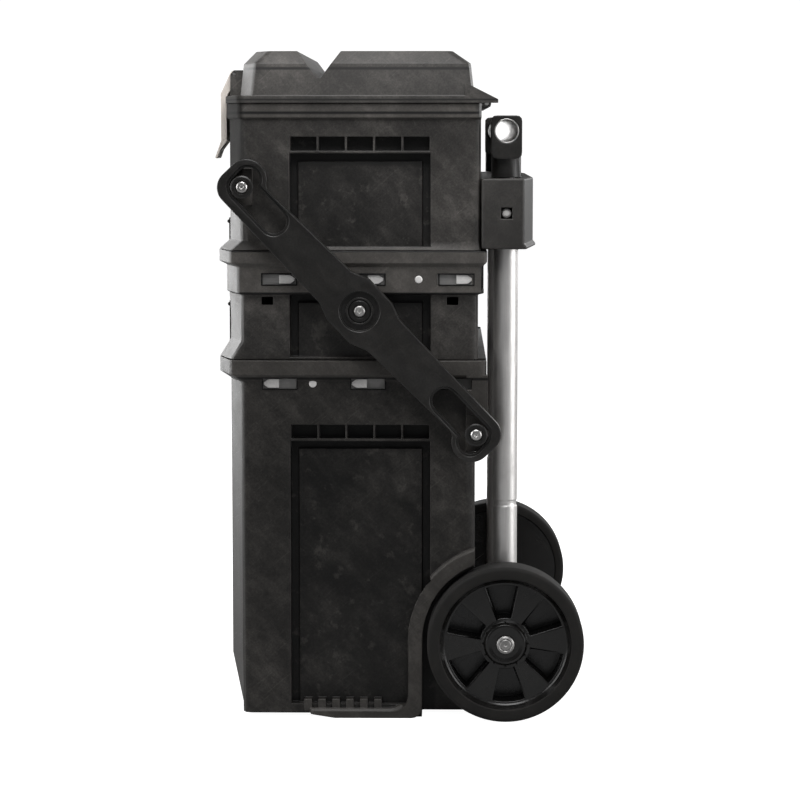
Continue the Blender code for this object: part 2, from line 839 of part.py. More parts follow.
def make_upper_box():
    """The upper tool box, with the bosses of the lever bolts and the lid's knuckles."""
    body = plan(half_width, front_y, box_rear_y)
    skirt = plan(half_width + rim_slope, front_y - rim_front_out, box_rear_y + slide_gap / 2)
    rim = plan(half_width + box_rim_out, front_y - box_rim_front_out, lid_rear_y)
    rim_z = box_top_z - box_rim_height
    piece = loft("upper_box", [
        (box_bottom_z, skirt), (box_bottom_z + box_skirt_height, body),
        (rim_z - rim_slope / 2, body), (rim_z, rim), (box_top_z, rim),
    ], finish=shell_black)
    inner = plan(half_width - plastic_wall, front_y + plastic_wall, box_rear_y - plastic_wall)
    hollow = loft("box_hollow", [
        (box_bottom_z + box_floor_thick, inner), (box_top_z + cut_over, inner),
    ], target=cutters)
    grip_top = box_bottom_z + box_grip_top_rise
    floor_z = box_bottom_z + box_recess_floor_rise
    bolt_y = pivot_y - pivot_half_y
    bolt_z = pivot_z + pivot_half_z
    for side, sign in sides:
        cut(hollow, *grip_backing(f"box_{side}", grip_top, floor_z, sign), side_blocks(
            f"box_{side}_boss_back", (half_width - bolt_depth, half_width),
            (side_front_y - boss_block_half, bolt_y + boss_block_half),
            (bolt_z - boss_block_half, bolt_z + boss_block_half), sign,
        ))
    cut(piece, hollow)
    for side, sign in sides:
        cut(piece, *grip_cuts(f"box_{side}", grip_top, floor_z, sign))
        boss = side_blocks(
            f"box_{side}_boss", (half_width - bolt_depth, lever_inner_x - seat_gap),
            (bolt_y - boss_block_over, bolt_y + boss_block_half / 2),
            (bolt_z - boss_block_half, bolt_z + boss_block_half), sign,
        )
        join(piece, boss)
        cut(piece, rod(
            f"box_{side}_bolt_hole", bolt_radius + seat_gap,
            sign * (half_width - bolt_depth + plastic_wall),
            sign * (lever_inner_x + cut_over), "X", (bolt_y, bolt_z), None, cutters, 16,
        ))
        catch_z = lid_bottom_z + lid_latch_pivot_rise - lid_latch_foot_drop
        join(piece, block(
            f"box_{side}_catch",
            (sign * latch_x - catch_half_x, sign * latch_x + catch_half_x),
            (front_y - lid_catch_depth, front_y + plastic_wall / 2),
            (catch_z, catch_z + catch_height), None, cutters,
        ))
    add_knuckles(piece, "box", 0)
    return piece


def add_knuckles(piece, name, first):
    """Join every second knuckle of the lid hinge to a piece."""
    pitch = knuckle_length + knuckle_gap
    start_x = -pitch * knuckle_count / 2
    for index in range(first, knuckle_count, 2):
        low = start_x + pitch * index
        high = low + knuckle_length
        round_part = rod(
            f"{name}_knuckle_{index + 1}", knuckle_radius, low, high, "X", (hinge_y, hinge_z),
            None, cutters, 16,
        )
        if name == "box":
            z_range = (hinge_z - knuckle_radius, box_top_z)
        else:
            z_range = (lid_bottom_z, hinge_z + knuckle_radius)
        arm = block(
            f"{name}_arm_{index + 1}", (low, high), (lid_rear_y - plastic_wall / 2, hinge_y),
            z_range, None, cutters,
        )
        join(piece, arm, round_part)
    cut(piece, rod(
        f"{name}_hinge_bore", hinge_pin_radius + seat_gap, -half_width, half_width, "X",
        (hinge_y, hinge_z), None, cutters, 12,
    ))


def make_hinge_pin():
    """The long steel pin of the lid hinge."""
    reach = (knuckle_length + knuckle_gap) * knuckle_count / 2
    piece = rod(
        "lid_hinge_pin", hinge_pin_radius, -reach, reach, "X", (hinge_y, hinge_z), zinc, parts, 12)
    smooth(piece)
    return piece


def lid_levels(inset, drop):
    """The outlines of the lid's dome, or of the hollow below it when inset."""
    def outline(half_in, side_front, front, rear):
        return plan(
            lid_dome_half - half_in - inset, front + inset, rear - inset,
            drop=side_front - front, flat=front_flat_half - inset,
        )
    bottom = lid_bottom_z
    crown_front = lid_dome_front_y + lid_crown_in
    side_drop = lid_dome_side_front_y - lid_dome_front_y
    return [
        (bottom + lid_rim_height, outline(
            0, lid_dome_side_front_y, lid_dome_front_y, lid_dome_rear_y)),
        (bottom + lid_shoulder_rise - drop / 2, outline(
            lid_shoulder_in, lid_dome_side_front_y + lid_shoulder_in,
            lid_dome_front_y + lid_shoulder_in, lid_dome_rear_y - lid_shoulder_in)),
        (bottom + lid_crown_rise - drop, outline(
            lid_crown_in, crown_front + side_drop, crown_front,
            lid_dome_rear_y - lid_crown_rear_in)),
    ]


def make_lid():
    """The lid: a domed shell with a sawing groove across it and ridges behind the groove."""
    rim = plan(half_width + lid_rim_out, front_y - lid_rim_front_out, lid_rear_y)
    dome = lid_levels(0, 0)
    piece = loft("lid", [
        (lid_bottom_z, rim), (lid_bottom_z + lid_rim_height, rim), *dome,
    ], finish=shell_black)
    hollow_levels = lid_levels(lid_wall, lid_wall)
    hollow = loft("lid_hollow", [
        (lid_bottom_z - cut_over, hollow_levels[0][1]), *hollow_levels[1:],
    ], target=cutters)
    crown_z = lid_bottom_z + lid_crown_rise
    fall = groove_half_width / groove_depth
    reach = half_width + cut_over

    def groove(name, grow):
        top = crown_z + cut_over
        low = crown_z - groove_depth - grow
        half_top = groove_half_width + cut_over * fall + grow
        outline = [
            (groove_y - half_top, top), (groove_y - groove_floor_half - grow / 2, low),
            (groove_y + groove_floor_half + grow / 2, low), (groove_y + half_top, top),
        ]
        return bar(name, outline, -reach, reach, "X", None, cutters)

    cut(hollow, groove("lid_groove_back", lid_wall))
    cut(piece, hollow, groove("lid_groove", 0))
    run = lid_dome_rear_y - lid_crown_rear_in - groove_y - groove_half_width
    for index, share in enumerate(ridge_shares):
        middle = groove_y + groove_half_width + run * share
        low = crown_z - lid_wall / 2
        base = rectangle((-ridge_half_x, ridge_half_x),
                         (middle - ridge_length_y / 2, middle + ridge_length_y / 2))
        top = rectangle(
            (-ridge_half_x + ridge_height, ridge_half_x - ridge_height),
            (middle - ridge_length_y / 2 + ridge_height, middle + ridge_length_y / 2 - ridge_height),
        )
        join(piece, loft(f"lid_ridge_{index + 1}", [
            (low, base), (crown_z, base), (crown_z + ridge_height, top),
        ], target=cutters))
    outer_x = half_width + lid_rim_out
    for side, sign in sides:
        fin = [
            (lid_rear_y - lid_fin_base, lid_bottom_z), (lid_rear_y + lid_fin_reach, lid_bottom_z),
            (lid_rear_y + lid_fin_reach, lid_bottom_z + lid_fin_tip),
            (lid_rear_y - lid_fin_base, lid_bottom_z + lid_fin_base + lid_fin_tip),
        ]
        x_low, x_high = sorted((sign * (outer_x - lid_fin_thick), sign * outer_x))
        join(piece, bar(f"lid_{side}_fin", fin, x_low, x_high, "X", None, cutters))
        for ear_side in (-1, 1):
            inner = latch_half_x + slide_gap
            ear_low, ear_high = sorted((ear_side * inner, ear_side * (inner + latch_ear_thick)))
            ear = ear_outline()
            join(piece, bar(
                f"lid_{side}_ear_{ear_side}", ear, sign * latch_x + ear_low,
                sign * latch_x + ear_high, "X", None, cutters,
            ))
        pivot = (lid_latch_pivot_y, lid_bottom_z + lid_latch_pivot_rise)
        cut(piece, rod(
            f"lid_{side}_latch_bore", latch_pin_radius + seat_gap,
            sign * latch_x - latch_half_x - 2 * latch_ear_thick,
            sign * latch_x + latch_half_x + 2 * latch_ear_thick, "X", pivot, None, cutters, 12,
        ))
    add_knuckles(piece, "lid", 1)
    return piece


def ear_outline():
    """One ear of a lid latch, standing on the lid's rim against the dome."""
    pivot_z_here = lid_bottom_z + lid_latch_pivot_rise
    return [
        (lid_dome_front_y + plastic_wall, lid_bottom_z + lid_rim_height / 2),
        (lid_latch_pivot_y - latch_barrel_radius, lid_bottom_z + lid_rim_height / 2),
        (lid_latch_pivot_y - latch_barrel_radius, pivot_z_here),
        (lid_latch_pivot_y, pivot_z_here + latch_barrel_radius),
        (lid_dome_front_y + plastic_wall, pivot_z_here + latch_barrel_radius),
    ]


def ribbon(points, thickness):
    """The outline of a strip of even thickness that follows a run of points."""
    left, right = [], []
    for index, here in enumerate(points):
        spot = Vector(here)
        before = (spot - Vector(points[index - 1])).normalized() if index else None
        last = index == len(points) - 1
        after = None if last else (Vector(points[index + 1]) - spot).normalized()
        along = ((before or after) + (after or before)).normalized()
        normal = Vector((-along.y, along.x))
        stretch = 1 / max(normal.dot(Vector((-(after or before).y, (after or before).x))), 0.5)
        left.append(tuple(spot + normal * thickness / 2 * stretch))
        right.append(tuple(spot - normal * thickness / 2 * stretch))
    return left + list(reversed(right))


def make_lid_latch(side, sign):
    """A long steel latch that hangs from the lid and reaches over the front of the box."""
    pivot = (lid_latch_pivot_y, lid_bottom_z + lid_latch_pivot_rise)
    run = [
        pivot, (lid_latch_face_y, pivot[1] - lid_latch_knee_drop),
        (lid_latch_face_y, pivot[1] - lid_latch_foot_drop),
        (lid_latch_lip_y, pivot[1] - lid_latch_lip_drop),
    ]
    low, high = sign * latch_x - latch_half_x, sign * latch_x + latch_half_x
    piece = bar(f"lid_latch_{side}", ribbon(run, latch_thick), low, high, "X", latch_grey)
    catch_z = pivot[1] - lid_latch_foot_drop
    catch_front = front_y - lid_catch_depth
    bump = block(
        f"lid_latch_{side}_bump",
        (sign * latch_x - catch_half_x, sign * latch_x + catch_half_x),
        (lid_latch_face_y, catch_front - lid_hook_gap), (catch_z, catch_z + latch_thick), None,
        cutters,
    )
    flange_rear = front_y - lid_rim_front_out - lid_latch_flange_gap
    outer = lid_latch_face_y - latch_thick / 2
    flange = [
        (pivot[0], pivot[1] + latch_barrel_radius),
        (pivot[0] - latch_barrel_radius, pivot[1] + latch_barrel_radius / 2),
        (outer, pivot[1] - lid_latch_knee_drop), (outer, catch_z),
        (lid_latch_lip_y, pivot[1] - lid_latch_lip_drop + latch_thick),
        (flange_rear, catch_z), (flange_rear, lid_bottom_z + lid_rim_height),
        (pivot[0] + latch_barrel_radius, pivot[1] - latch_barrel_radius),
        (pivot[0] + latch_barrel_radius, pivot[1]),
    ]
    join(piece, bump, rod(f"lid_latch_{side}_barrel", latch_barrel_radius, low, high, "X", pivot,
                          None, cutters, 16))
    for label, start in (("inner", low), ("outer", high - lid_latch_flange)):
        join(piece, bar(f"lid_latch_{side}_{label}_flange", flange, start,
                        start + lid_latch_flange, "X", None, cutters))
    cut(piece, rod(
        f"lid_latch_{side}_bore", latch_pin_radius + seat_gap, low - cut_over, high + cut_over,
        "X", pivot, None, cutters, 12,
    ))
    reach = latch_ear_thick + slide_gap
    pin = rod(f"lid_latch_pin_{side}", latch_pin_radius, low - reach, high + reach, "X", pivot,
              zinc, parts, 12)
    smooth(pin)
    hinge = joint_empty(f"lid_latch_{side}_axis", (sign * latch_x, *pivot), lid_axis)
    carry(hinge, piece)
    carry(lid_axis, pin)


def make_stack_latch(name, base_z, height, owner, held, axis_parent):
    """A latch that stands on one box's front lip and reaches up to the catch of the next."""
    pivot = (stack_pivot_y, base_z)
    top = base_z + height
    low, high = -stack_latch_half_x, stack_latch_half_x
    outline = rectangle(
        (stack_pivot_y - latch_thick / 2, stack_pivot_y + latch_thick / 2),
        (base_z, top),
    )
    piece = bar(name, outline, low, high, "X", shell_black)
    bead = rod(f"{name}_bead", bead_radius, low, high, "X",
               (stack_pivot_y - latch_thick / 2, top - latch_barrel_radius), None, cutters, 12)
    barrel = rod(f"{name}_barrel", latch_barrel_radius, low, high, "X", pivot, None, cutters, 16)
    hook = block(f"{name}_hook", (-catch_half_x, catch_half_x),
                 (stack_pivot_y, stack_pivot_y + latch_thick / 2 + hook_reach),
                 (top - latch_thick, top), None, cutters)
    join(piece, bead, barrel, hook)
    cut(piece, rod(f"{name}_bore", latch_pin_radius + seat_gap, low - cut_over, high + cut_over,
                   "X", pivot, None, cutters, 12))
    for ear_side in (-1, 1):
        ear_low, ear_high = sorted((
            ear_side * (high + slide_gap), ear_side * (high + slide_gap + latch_ear_thick)))
        ear = rectangle(
            (stack_pivot_y - latch_barrel_radius, front_y + plastic_wall / 2),
            (base_z - latch_barrel_radius, base_z + latch_barrel_radius),
        )
        join(owner, bar(f"{name}_ear_{ear_side}", ear, ear_low, ear_high, "X", None, cutters))
    space = latch_barrel_radius + slide_gap
    cut(owner, block(
        f"{name}_space", (low - slide_gap, high + slide_gap),
        (stack_pivot_y - 2 * space, stack_pivot_y + space), (base_z - space, base_z + 4 * space),
        None, cutters,
    ))
    cut(held, block(
        f"{name}_lip_space", (low - slide_gap, high + slide_gap),
        (stack_pivot_y - 2 * space, stack_pivot_y + latch_thick / 2 + slide_gap),
        (base_z, top + space), None, cutters,
    ))
    catch_top = top - latch_thick - 2 * slide_gap
    join(held, block(
        f"{name}_catch", (-catch_half_x, catch_half_x),
        (stack_pivot_y + latch_thick / 2 + 2 * slide_gap, front_y + plastic_wall / 2),
        (catch_top - catch_height / 2, catch_top), None, cutters,
    ))
    reach = latch_ear_thick + slide_gap
    cut(owner, rod(f"{name}_ear_bore", latch_pin_radius + seat_gap, low - 2 * reach,
                   high + 2 * reach, "X", pivot, None, cutters, 12))
    pin = rod(f"{name}_pin", latch_pin_radius, low - reach, high + reach, "X", pivot, zinc,
              parts, 12)
    smooth(pin)
    hinge = joint_empty(f"{name}_axis", (0, *pivot), axis_parent)
    carry(hinge, piece)
    if axis_parent:
        carry(axis_parent, pin)


def channel(back_x, depth, wall, low_z, high_z, sign):
    """A C section that opens towards the middle of the object."""
    points = [
        (back_x, low_z), (back_x, high_z), (back_x - depth, high_z),
        (back_x - depth, high_z - wall), (back_x - wall, high_z - wall),
        (back_x - wall, low_z + wall), (back_x - depth, low_z + wall), (back_x - depth, low_z),
    ]
    return [(sign * x, z) for x, z in points]


def make_slide(name, wall_x, rail_z, roof_z, side, sign):
    """A steel slide of three members: the fixed rail, the middle member and the runner."""
    back = wall_x - seat_gap
    low, high = rail_z - rail_height / 2, rail_z + rail_height / 2
    rail = bar(f"{name}_rail_{side}", channel(back, rail_depth, rail_wall, low, high, sign),
               slide_front_y, slide_rear_y, "Y", zinc)
    mid_back = back - rail_wall - seat_gap
    mid_depth = rail_depth - rail_wall - seat_gap
    mid_low, mid_high = low + rail_wall + seat_gap, high - rail_wall - seat_gap
    middle = bar(
        f"{name}_slide_middle_{side}",
        channel(mid_back, mid_depth, middle_wall, mid_low, mid_high, sign),
        slide_front_y, slide_rear_y, "Y", zinc,
    )
    tip = mid_back - middle_wall - seat_gap
    web_outer = back - rail_depth - seat_gap
    web_inner = web_outer - runner_web
    tongue_low = mid_low + middle_wall + seat_gap
    tongue_high = mid_high - middle_wall - seat_gap
    top = roof_z - seat_gap
    section = [
        (tip, tongue_low), (tip, tongue_high), (web_outer, tongue_high), (web_outer, top),
        (web_inner - runner_flange, top), (web_inner - runner_flange, top - runner_web),
        (web_inner, top - runner_web), (web_inner, tongue_low),
    ]
    runner = bar(f"{name}_runner_{side}", [(sign * x, z) for x, z in section],
                 slide_front_y, slide_rear_y, "Y", zinc)
    return rail, middle, runner


def lever_point(u, v, sign_end):
    """A point from its place along the lever and across it, at the upper or the lower end."""
    c, s = math.cos(lever_lean), math.sin(lever_lean)
    y = -u * s + v * c
    z = u * c + v * s
    return (pivot_y + sign_end * y, pivot_z + sign_end * z)


def lever_half(end):
    """Half of the lever's outline, from one side of the hub round an end to the other."""
    near_u, far_u = [lever_hub_length * share for share in lever_hub_shares]
    points = [
        (near_u, -lever_hub_half), (far_u, lever_low_v),
        *arc((lever_corner_u, lever_corner_v), lever_corner_radius, -math.pi / 2, 0, 6),
        *arc((lever_lobe_u, lever_lobe_v), lever_lobe_radius, 0, math.radians(150), 10),
        (lever_tip_u, lever_tip_v), (far_u, lever_high_v), (near_u, lever_hub_half),
    ]
    return [lever_point(u, v, end) for u, v in points]


def slot_outline(end):
    """The slot of one lever end, with the nook that holds the bolt when the stack is shut."""
    points = [
        *arc((slot_inner_u, slot_middle_v), slot_half, math.pi / 2, math.pi * 3 / 2, 8),
        *arc((slot_corner_u, slot_middle_v), slot_half, -math.pi / 2, 0, 5),
        *arc((nook_u, nook_v), nook_radius, 0, nook_sweep, 8),
    ]
    return [lever_point(u, v, end) for u, v in points]


def make_lever(side, sign):
    """A side lever: a slotted plate that turns on the tray's bolt."""
    outer_x = lever_inner_x + lever_thick
    outline = lever_half(1) + lever_half(-1)
    bore = circle((pivot_y, pivot_z), bolt_radius + seat_gap, 16)
    start, end = sorted((sign * lever_inner_x, sign * outer_x))
    piece = plate(f"side_lever_{side}", outline, [slot_outline(1), slot_outline(-1), bore],
                  start, end, lever_black)
    cut(piece, rod(
        f"lever_{side}_dish", hub_dish_radius, sign * (outer_x - hub_dish_depth),
        sign * (outer_x + cut_over), "X", (pivot_y, pivot_z), None, cutters, 24,
    ))
    return piece


def make_bolt(name, side, sign, place, flange_x):
    """A shoulder bolt with a broad flange that keeps the lever on."""
    inner = (half_width - bolt_depth + plastic_wall + seat_gap)
    profile = [
        (0, inner), (bolt_radius, inner), (bolt_radius, flange_x),
        (bolt_flange_radius, flange_x), (bolt_flange_radius, flange_x + bolt_flange_thick),
        (bolt_head_radius, flange_x + bolt_flange_thick),
        (bolt_head_radius * 0.9, flange_x + bolt_flange_thick + bolt_head_thick),
        (0, flange_x + bolt_flange_thick + bolt_head_thick),
    ]
    profile = [(radius, sign * along) for radius, along in profile]
    piece = turned(f"{name}_{side}", profile, zinc, parts, 14, "X", (0, *place))
    smooth(piece)
    return piece


def make_tube(side, sign):
    """An outer tube of the handle frame, with its crimp, and the plug in its foot."""
    foot_z = axle_z - tube_foot_drop
    crimp = tube_radius - tube_crimp_depth
    bore = tube_radius - tube_wall
    outer = [
        (tube_radius, tube_top_z), (tube_radius, tube_crimp_z + tube_crimp_width),
        (crimp, tube_crimp_z + tube_crimp_width / 2), (tube_radius, tube_crimp_z),
        (tube_radius, foot_z),
    ]
    profile = [*outer, (bore, foot_z), (bore, tube_top_z)]
    place = (sign * tube_x, axle_y, 0)
    tube = turned(f"outer_tube_{side}", profile, aluminium, parts, 20, "Z", place)
    smooth(tube)
    hole = rod(f"tube_{side}_axle_hole", axle_radius + seat_gap, -half_width, half_width, "X",
               (axle_y, axle_z), None, cutters, 20)
    button_start, button_end = sorted((sign * tube_x, sign * (tube_x + tube_radius + cut_over)))
    button_hole = rod(f"tube_{side}_button_hole", button_radius + seat_gap, button_start,
                      button_end, "X", (axle_y, button_z), None, cutters, 14)
    cut(tube, hole, button_hole)
    plug = rod(f"tube_foot_{side}", tube_radius, foot_z - seat_gap - plug_height / 2,
               foot_z - seat_gap, "Z", (sign * tube_x, axle_y), cap_black, parts, 20)
    stem = rod(f"tube_foot_{side}_stem", bore - seat_gap, foot_z - plug_height / 2,
               foot_z + plug_height / 2, "Z", (sign * tube_x, axle_y), None, cutters, 20)
    join(plug, stem)
    return tube, plug


def make_housing():
    """The moulded cross housing behind the upper box, which holds the tops of both tubes."""
    front = housing_front_y
    side_rear = front + housing_side_depth
    mid_rear = front + housing_mid_depth

    def outline(grow):
        points = [
            (housing_half_x, front), (housing_half_x, side_rear + grow),
            (housing_mid_half_x, mid_rear + grow), (-housing_mid_half_x, mid_rear + grow),
            (-housing_half_x, side_rear + grow), (-housing_half_x, front),
        ]
        return rounded(points, housing_wall, 2)

    base = outline(0)
    flange = outline(housing_flange)
    piece = loft("handle_housing", [
        (housing_bottom_z, flange), (housing_bottom_z + housing_flange_height, flange),
        (housing_bottom_z + 2 * housing_flange_height, base),
        (housing_top_z, base),
    ], finish=housing_black)
    soften(piece, housing_wall / 3, 1, 50)
    taper = (housing_half_x - housing_pocket_half_x) / (housing_half_x - housing_mid_half_x)
    pocket_rear = side_rear + (mid_rear - side_rear) * taper - housing_wall
    pocket = bar("housing_pocket", [
        (housing_pocket_half_x, front + housing_wall), (housing_pocket_half_x, pocket_rear),
        (housing_mid_half_x, mid_rear - housing_wall), (-housing_mid_half_x, mid_rear - housing_wall),
        (-housing_pocket_half_x, pocket_rear), (-housing_pocket_half_x, front + housing_wall),
    ], housing_bottom_z - cut_over, housing_bottom_z + housing_pocket_height, "Z", None, cutters)
    cut(piece, pocket)
    for side, sign in sides:
        place = (sign * tube_x, axle_y)
        cut(
            piece,
            rod(f"housing_{side}_tube_bore", tube_radius + seat_gap,
                housing_bottom_z - cut_over, tube_top_z + seat_gap, "Z", place, None, cutters, 20),
            rod(f"housing_{side}_inner_bore", inner_radius + seat_gap,
                tube_top_z - cut_over, housing_top_z + cut_over, "Z", place, None, cutters, 20),
        )
        reach = (tube_x + tube_radius / 2, housing_half_x + cut_over)
        half = button_window / 2
        cut(piece, side_blocks(
            f"housing_{side}_window", reach, (axle_y - half, axle_y + half),
            (button_z - half, button_z + half), sign,
        ))
    return piece


def make_button(side, sign):
    """A sprung lock button in the housing's window, in line with the hole of the inner tube."""
    inner = tube_x + inner_radius + seat_gap
    face = tube_x + tube_radius
    collar = button_window / 2 - seat_gap
    profile = [
        (0, inner), (button_radius, inner), (button_radius, face + button_travel + seat_gap),
        (collar, face + button_travel + seat_gap),
        (collar, face + button_travel + seat_gap + button_dome),
        (collar * 0.7, face + button_travel + seat_gap + 2 * button_dome),
        (0, face + button_travel + seat_gap + 2.4 * button_dome),
    ]
    profile = [(radius, sign * along) for radius, along in profile]
    piece = turned(f"lock_button_{side}", profile, zinc, parts, 12, "X", (0, axle_y, button_z))
    smooth(piece)
    return piece


def make_handle():
    """The telescopic handle: two inner tubes, a crossbar and a moulded bracket at each corner."""
    bar_z = housing_top_z + crossbar_rise
    reach = tube_x + bracket_half_x + bracket_over / 2
    bore = crossbar_radius - crossbar_wall
    profile = [(crossbar_radius, -reach), (bore, -reach), (bore, reach), (crossbar_radius, reach)]
    crossbar = turned("handle_crossbar", profile, bar_grey, parts, 20, "X", (0, axle_y, bar_z))
    smooth(crossbar)
    pieces = [crossbar]
    socket_top = housing_top_z + bracket_socket_rise
    inner_bore = inner_radius - inner_wall
    for side, sign in sides:
        place = (sign * tube_x, axle_y, 0)
        tube = turned(f"inner_tube_{side}", [
            (inner_radius, inner_lowest_z), (inner_bore, inner_lowest_z),
            (inner_bore, socket_top - seat_gap), (inner_radius, socket_top - seat_gap),
        ], aluminium, parts, 20, "Z", place)
        smooth(tube)
        start, end = sorted((sign * tube_x, sign * (tube_x + tube_radius)))
        for level, height in (("shut", button_z), ("raised", button_z - handle_travel)):
            cut(tube, rod(
                f"inner_tube_{side}_{level}_hole", button_radius + 2 * seat_gap, start, end, "X",
                (axle_y, height), None, cutters, 14,
            ))
        bottom = housing_top_z + bracket_bottom_rise
        outline = rounded(rectangle(
            (axle_y - bracket_half_y, axle_y + bracket_half_y),
            (bottom, bar_z + bracket_half_y)), bracket_corner, 3)
        low, high = sorted((
            sign * (tube_x - bracket_half_x), sign * (tube_x + bracket_half_x + bracket_over / 2)))
        bracket = bar(f"handle_bracket_{side}", outline, low, high, "X", cap_black)
        neck = rod(f"bracket_{side}_neck", neck_radius, housing_top_z + 2 * seat_gap,
                   bottom + bracket_corner, "Z", (sign * tube_x, axle_y), None, cutters, 20)
        join(bracket, neck)
        soften(bracket, bracket_corner / 6, 1, 60)
        cut(bracket, rod(
            f"bracket_{side}_bar_bore", crossbar_radius + seat_gap, low - cut_over,
            high + cut_over, "X", (axle_y, bar_z), None, cutters, 20,
        ), rod(
            f"bracket_{side}_socket", inner_radius + seat_gap, housing_top_z - cut_over,
            socket_top, "Z", (sign * tube_x, axle_y), None, cutters, 20,
        ))
        pieces += [tube, bracket]
    return pieces


def make_axle():
    """The steel axle that runs through the feet of both tubes."""
    reach = wheel_face_x - cap_wall - seat_gap
    piece = rod("axle", axle_radius, -reach, reach, "X", (axle_y, axle_z), zinc, parts, 24)
    smooth(piece)
    return piece


def make_cap(side, sign):
    """The pressed cap that keeps a wheel on the axle."""
    start = wheel_face_x - cap_thick
    bore = axle_radius + seat_gap
    profile = [
        (bore, start), (cap_radius, start), (cap_radius, wheel_face_x - cap_wall),
        (cap_radius - cap_wall, wheel_face_x), (0, wheel_face_x),
        (0, wheel_face_x - cap_wall), (bore, wheel_face_x - cap_wall),
    ]
    profile = [(radius, sign * along) for radius, along in profile]
    piece = turned(f"axle_cap_{side}", profile, zinc, parts, 18, "X", (0, axle_y, axle_z))
    smooth(piece)
    return piece


def make_wheel(side, sign):
    """A wheel: a moulded rim with six wedge spokes, a rubber tyre and a flanged bush."""
    tyre_bore = wheel_radius - tyre_thick
    low, high = wheel_inner_x, wheel_face_x
    tread = [
        (tyre_bore, low), (wheel_radius - tyre_shoulder, low),
        (wheel_radius - tyre_shoulder / 4, low + tyre_shoulder / 3),
        (wheel_radius, low + tyre_shoulder), (wheel_radius, high - tyre_shoulder),
        (wheel_radius - tyre_shoulder / 4, high - tyre_shoulder / 3),
        (wheel_radius - tyre_shoulder, high), (tyre_bore, high),
    ]
    place = (0, axle_y, axle_z)
    tyre = turned(f"tyre_{side}", [(r, sign * x) for r, x in tread], rubber, parts, 36, "X", place)
    smooth(tyre)
    barrel = tyre_bore - seat_gap
    inner = barrel - rim_barrel_thick
    hub_bore = axle_radius + bush_wall + 2 * seat_gap
    web_high = high - web_face_inset
    back_z = low + rim_inset
    hub_high = high - hub_face_inset
    section = [
        (barrel, back_z), (barrel, high - rim_inset), (inner, high - rim_inset),
        (inner, web_high), (hub_radius, web_high), (hub_radius * 0.93, hub_high),
        (hub_bore, hub_high), (hub_bore, low + bush_flange_thick + seat_gap),
        (bush_flange_radius * 1.1, low + bush_flange_thick + seat_gap),
        (bush_flange_radius * 1.2, back_z),
    ]
    rim = turned(f"wheel_rim_{side}", [(r, sign * x) for r, x in section], rim_black, parts, 30,
                 "X", place)
    pitch = 2 * math.pi / spoke_count
    half_window = pitch * window_angle_share / 2
    start, end = sorted((sign * (back_z + back_thick), sign * (web_high + cut_over / 4)))
    for index in range(spoke_count):
        middle = math.radians(first_spoke_deg) + pitch * (index + 0.5)
        outline = [
            *arc((axle_y, axle_z), window_outer_radius, middle - half_window,
                 middle + half_window, 4),
            *arc((axle_y, axle_z), window_inner_radius, middle + half_window,
                 middle - half_window, 2),
        ]
        cut(rim, bar(f"rim_{side}_window_{index + 1}", outline, start, end, "X", None, cutters))
    smooth(rim)
    bush_radius = axle_radius + seat_gap + bush_wall
    bush = turned(f"wheel_bush_{side}", [(r, sign * x) for r, x in [
        (axle_radius + seat_gap, low - bush_flange_thick / 2),
        (bush_flange_radius, low - bush_flange_thick / 2),
        (bush_flange_radius, low + bush_flange_thick),
        (bush_radius, low + bush_flange_thick),
        (bush_radius, high - cap_thick - seat_gap),
        (axle_radius + seat_gap, high - cap_thick - seat_gap),
    ]], bush_white, parts, 18, "X", place)
    smooth(bush)
    return tyre, rim, bush


for old in list(bpy.data.objects):
    bpy.data.objects.remove(old)

parts = collection("rolling_toolbox")
cutters = collection("cutters")
teeth = []
joint_places = {}

shell_black = material("shell_black", (0.020, 0.019, 0.018), 0.55)
lever_black = material("lever_black", (0.014, 0.013, 0.013), 0.45)
housing_black = material("housing_black", (0.022, 0.020, 0.019), 0.5)
cap_black = material("cap_black", (0.012, 0.012, 0.012), 0.4)
rim_black = material("rim_black", (0.010, 0.010, 0.010), 0.4)
rubber = material("rubber", (0.022, 0.021, 0.020), 0.85)
bush_white = material("bush_grey", (0.35, 0.34, 0.32), 0.5)
latch_grey = material("latch_grey", (0.52, 0.50, 0.48), 0.4, 0.6)
zinc = material("zinc_steel", (0.50, 0.49, 0.47), 0.35, 1.0)
aluminium = material("aluminium", (0.62, 0.61, 0.60), 0.4, 1.0)
bar_grey = material("handle_bar_black", (0.018, 0.018, 0.018), 0.45)

bin_piece = make_bin()
tray_piece = make_tray()
box_piece = make_upper_box()
lid_piece = make_lid()

tray_axis = joint_empty("tray_slide_axis", (0, slide_front_y, bin_rail_z))
tray_rail_z = tray_bottom_z + tray_rail_rise
box_axis = joint_empty("box_slide_axis", (0, slide_front_y, tray_rail_z), tray_axis)
lid_axis = joint_empty("lid_axis", (0, hinge_y, hinge_z), box_axis)
handle_axis = joint_empty("handle_axis", (0, axle_y, housing_top_z), box_axis)
lower_middle_axis = joint_empty("lower_middle_axis", (0, slide_front_y, bin_rail_z))
upper_middle_axis = joint_empty("upper_middle_axis", (0, slide_front_y, tray_rail_z), tray_axis)

carry(tray_axis, tray_piece)
carry(box_axis, box_piece, make_hinge_pin(), make_housing(), make_axle())
carry(lid_axis, lid_piece)
carry(handle_axis, *make_handle())
make_stack_latch("tray_latch", bin_top_z - rim_height * 0.45, tray_latch_height, bin_piece,
                 tray_piece, None)
make_stack_latch("box_latch", tray_top_z - rim_height * 0.30, box_latch_height, tray_piece,
                 box_piece, tray_axis)

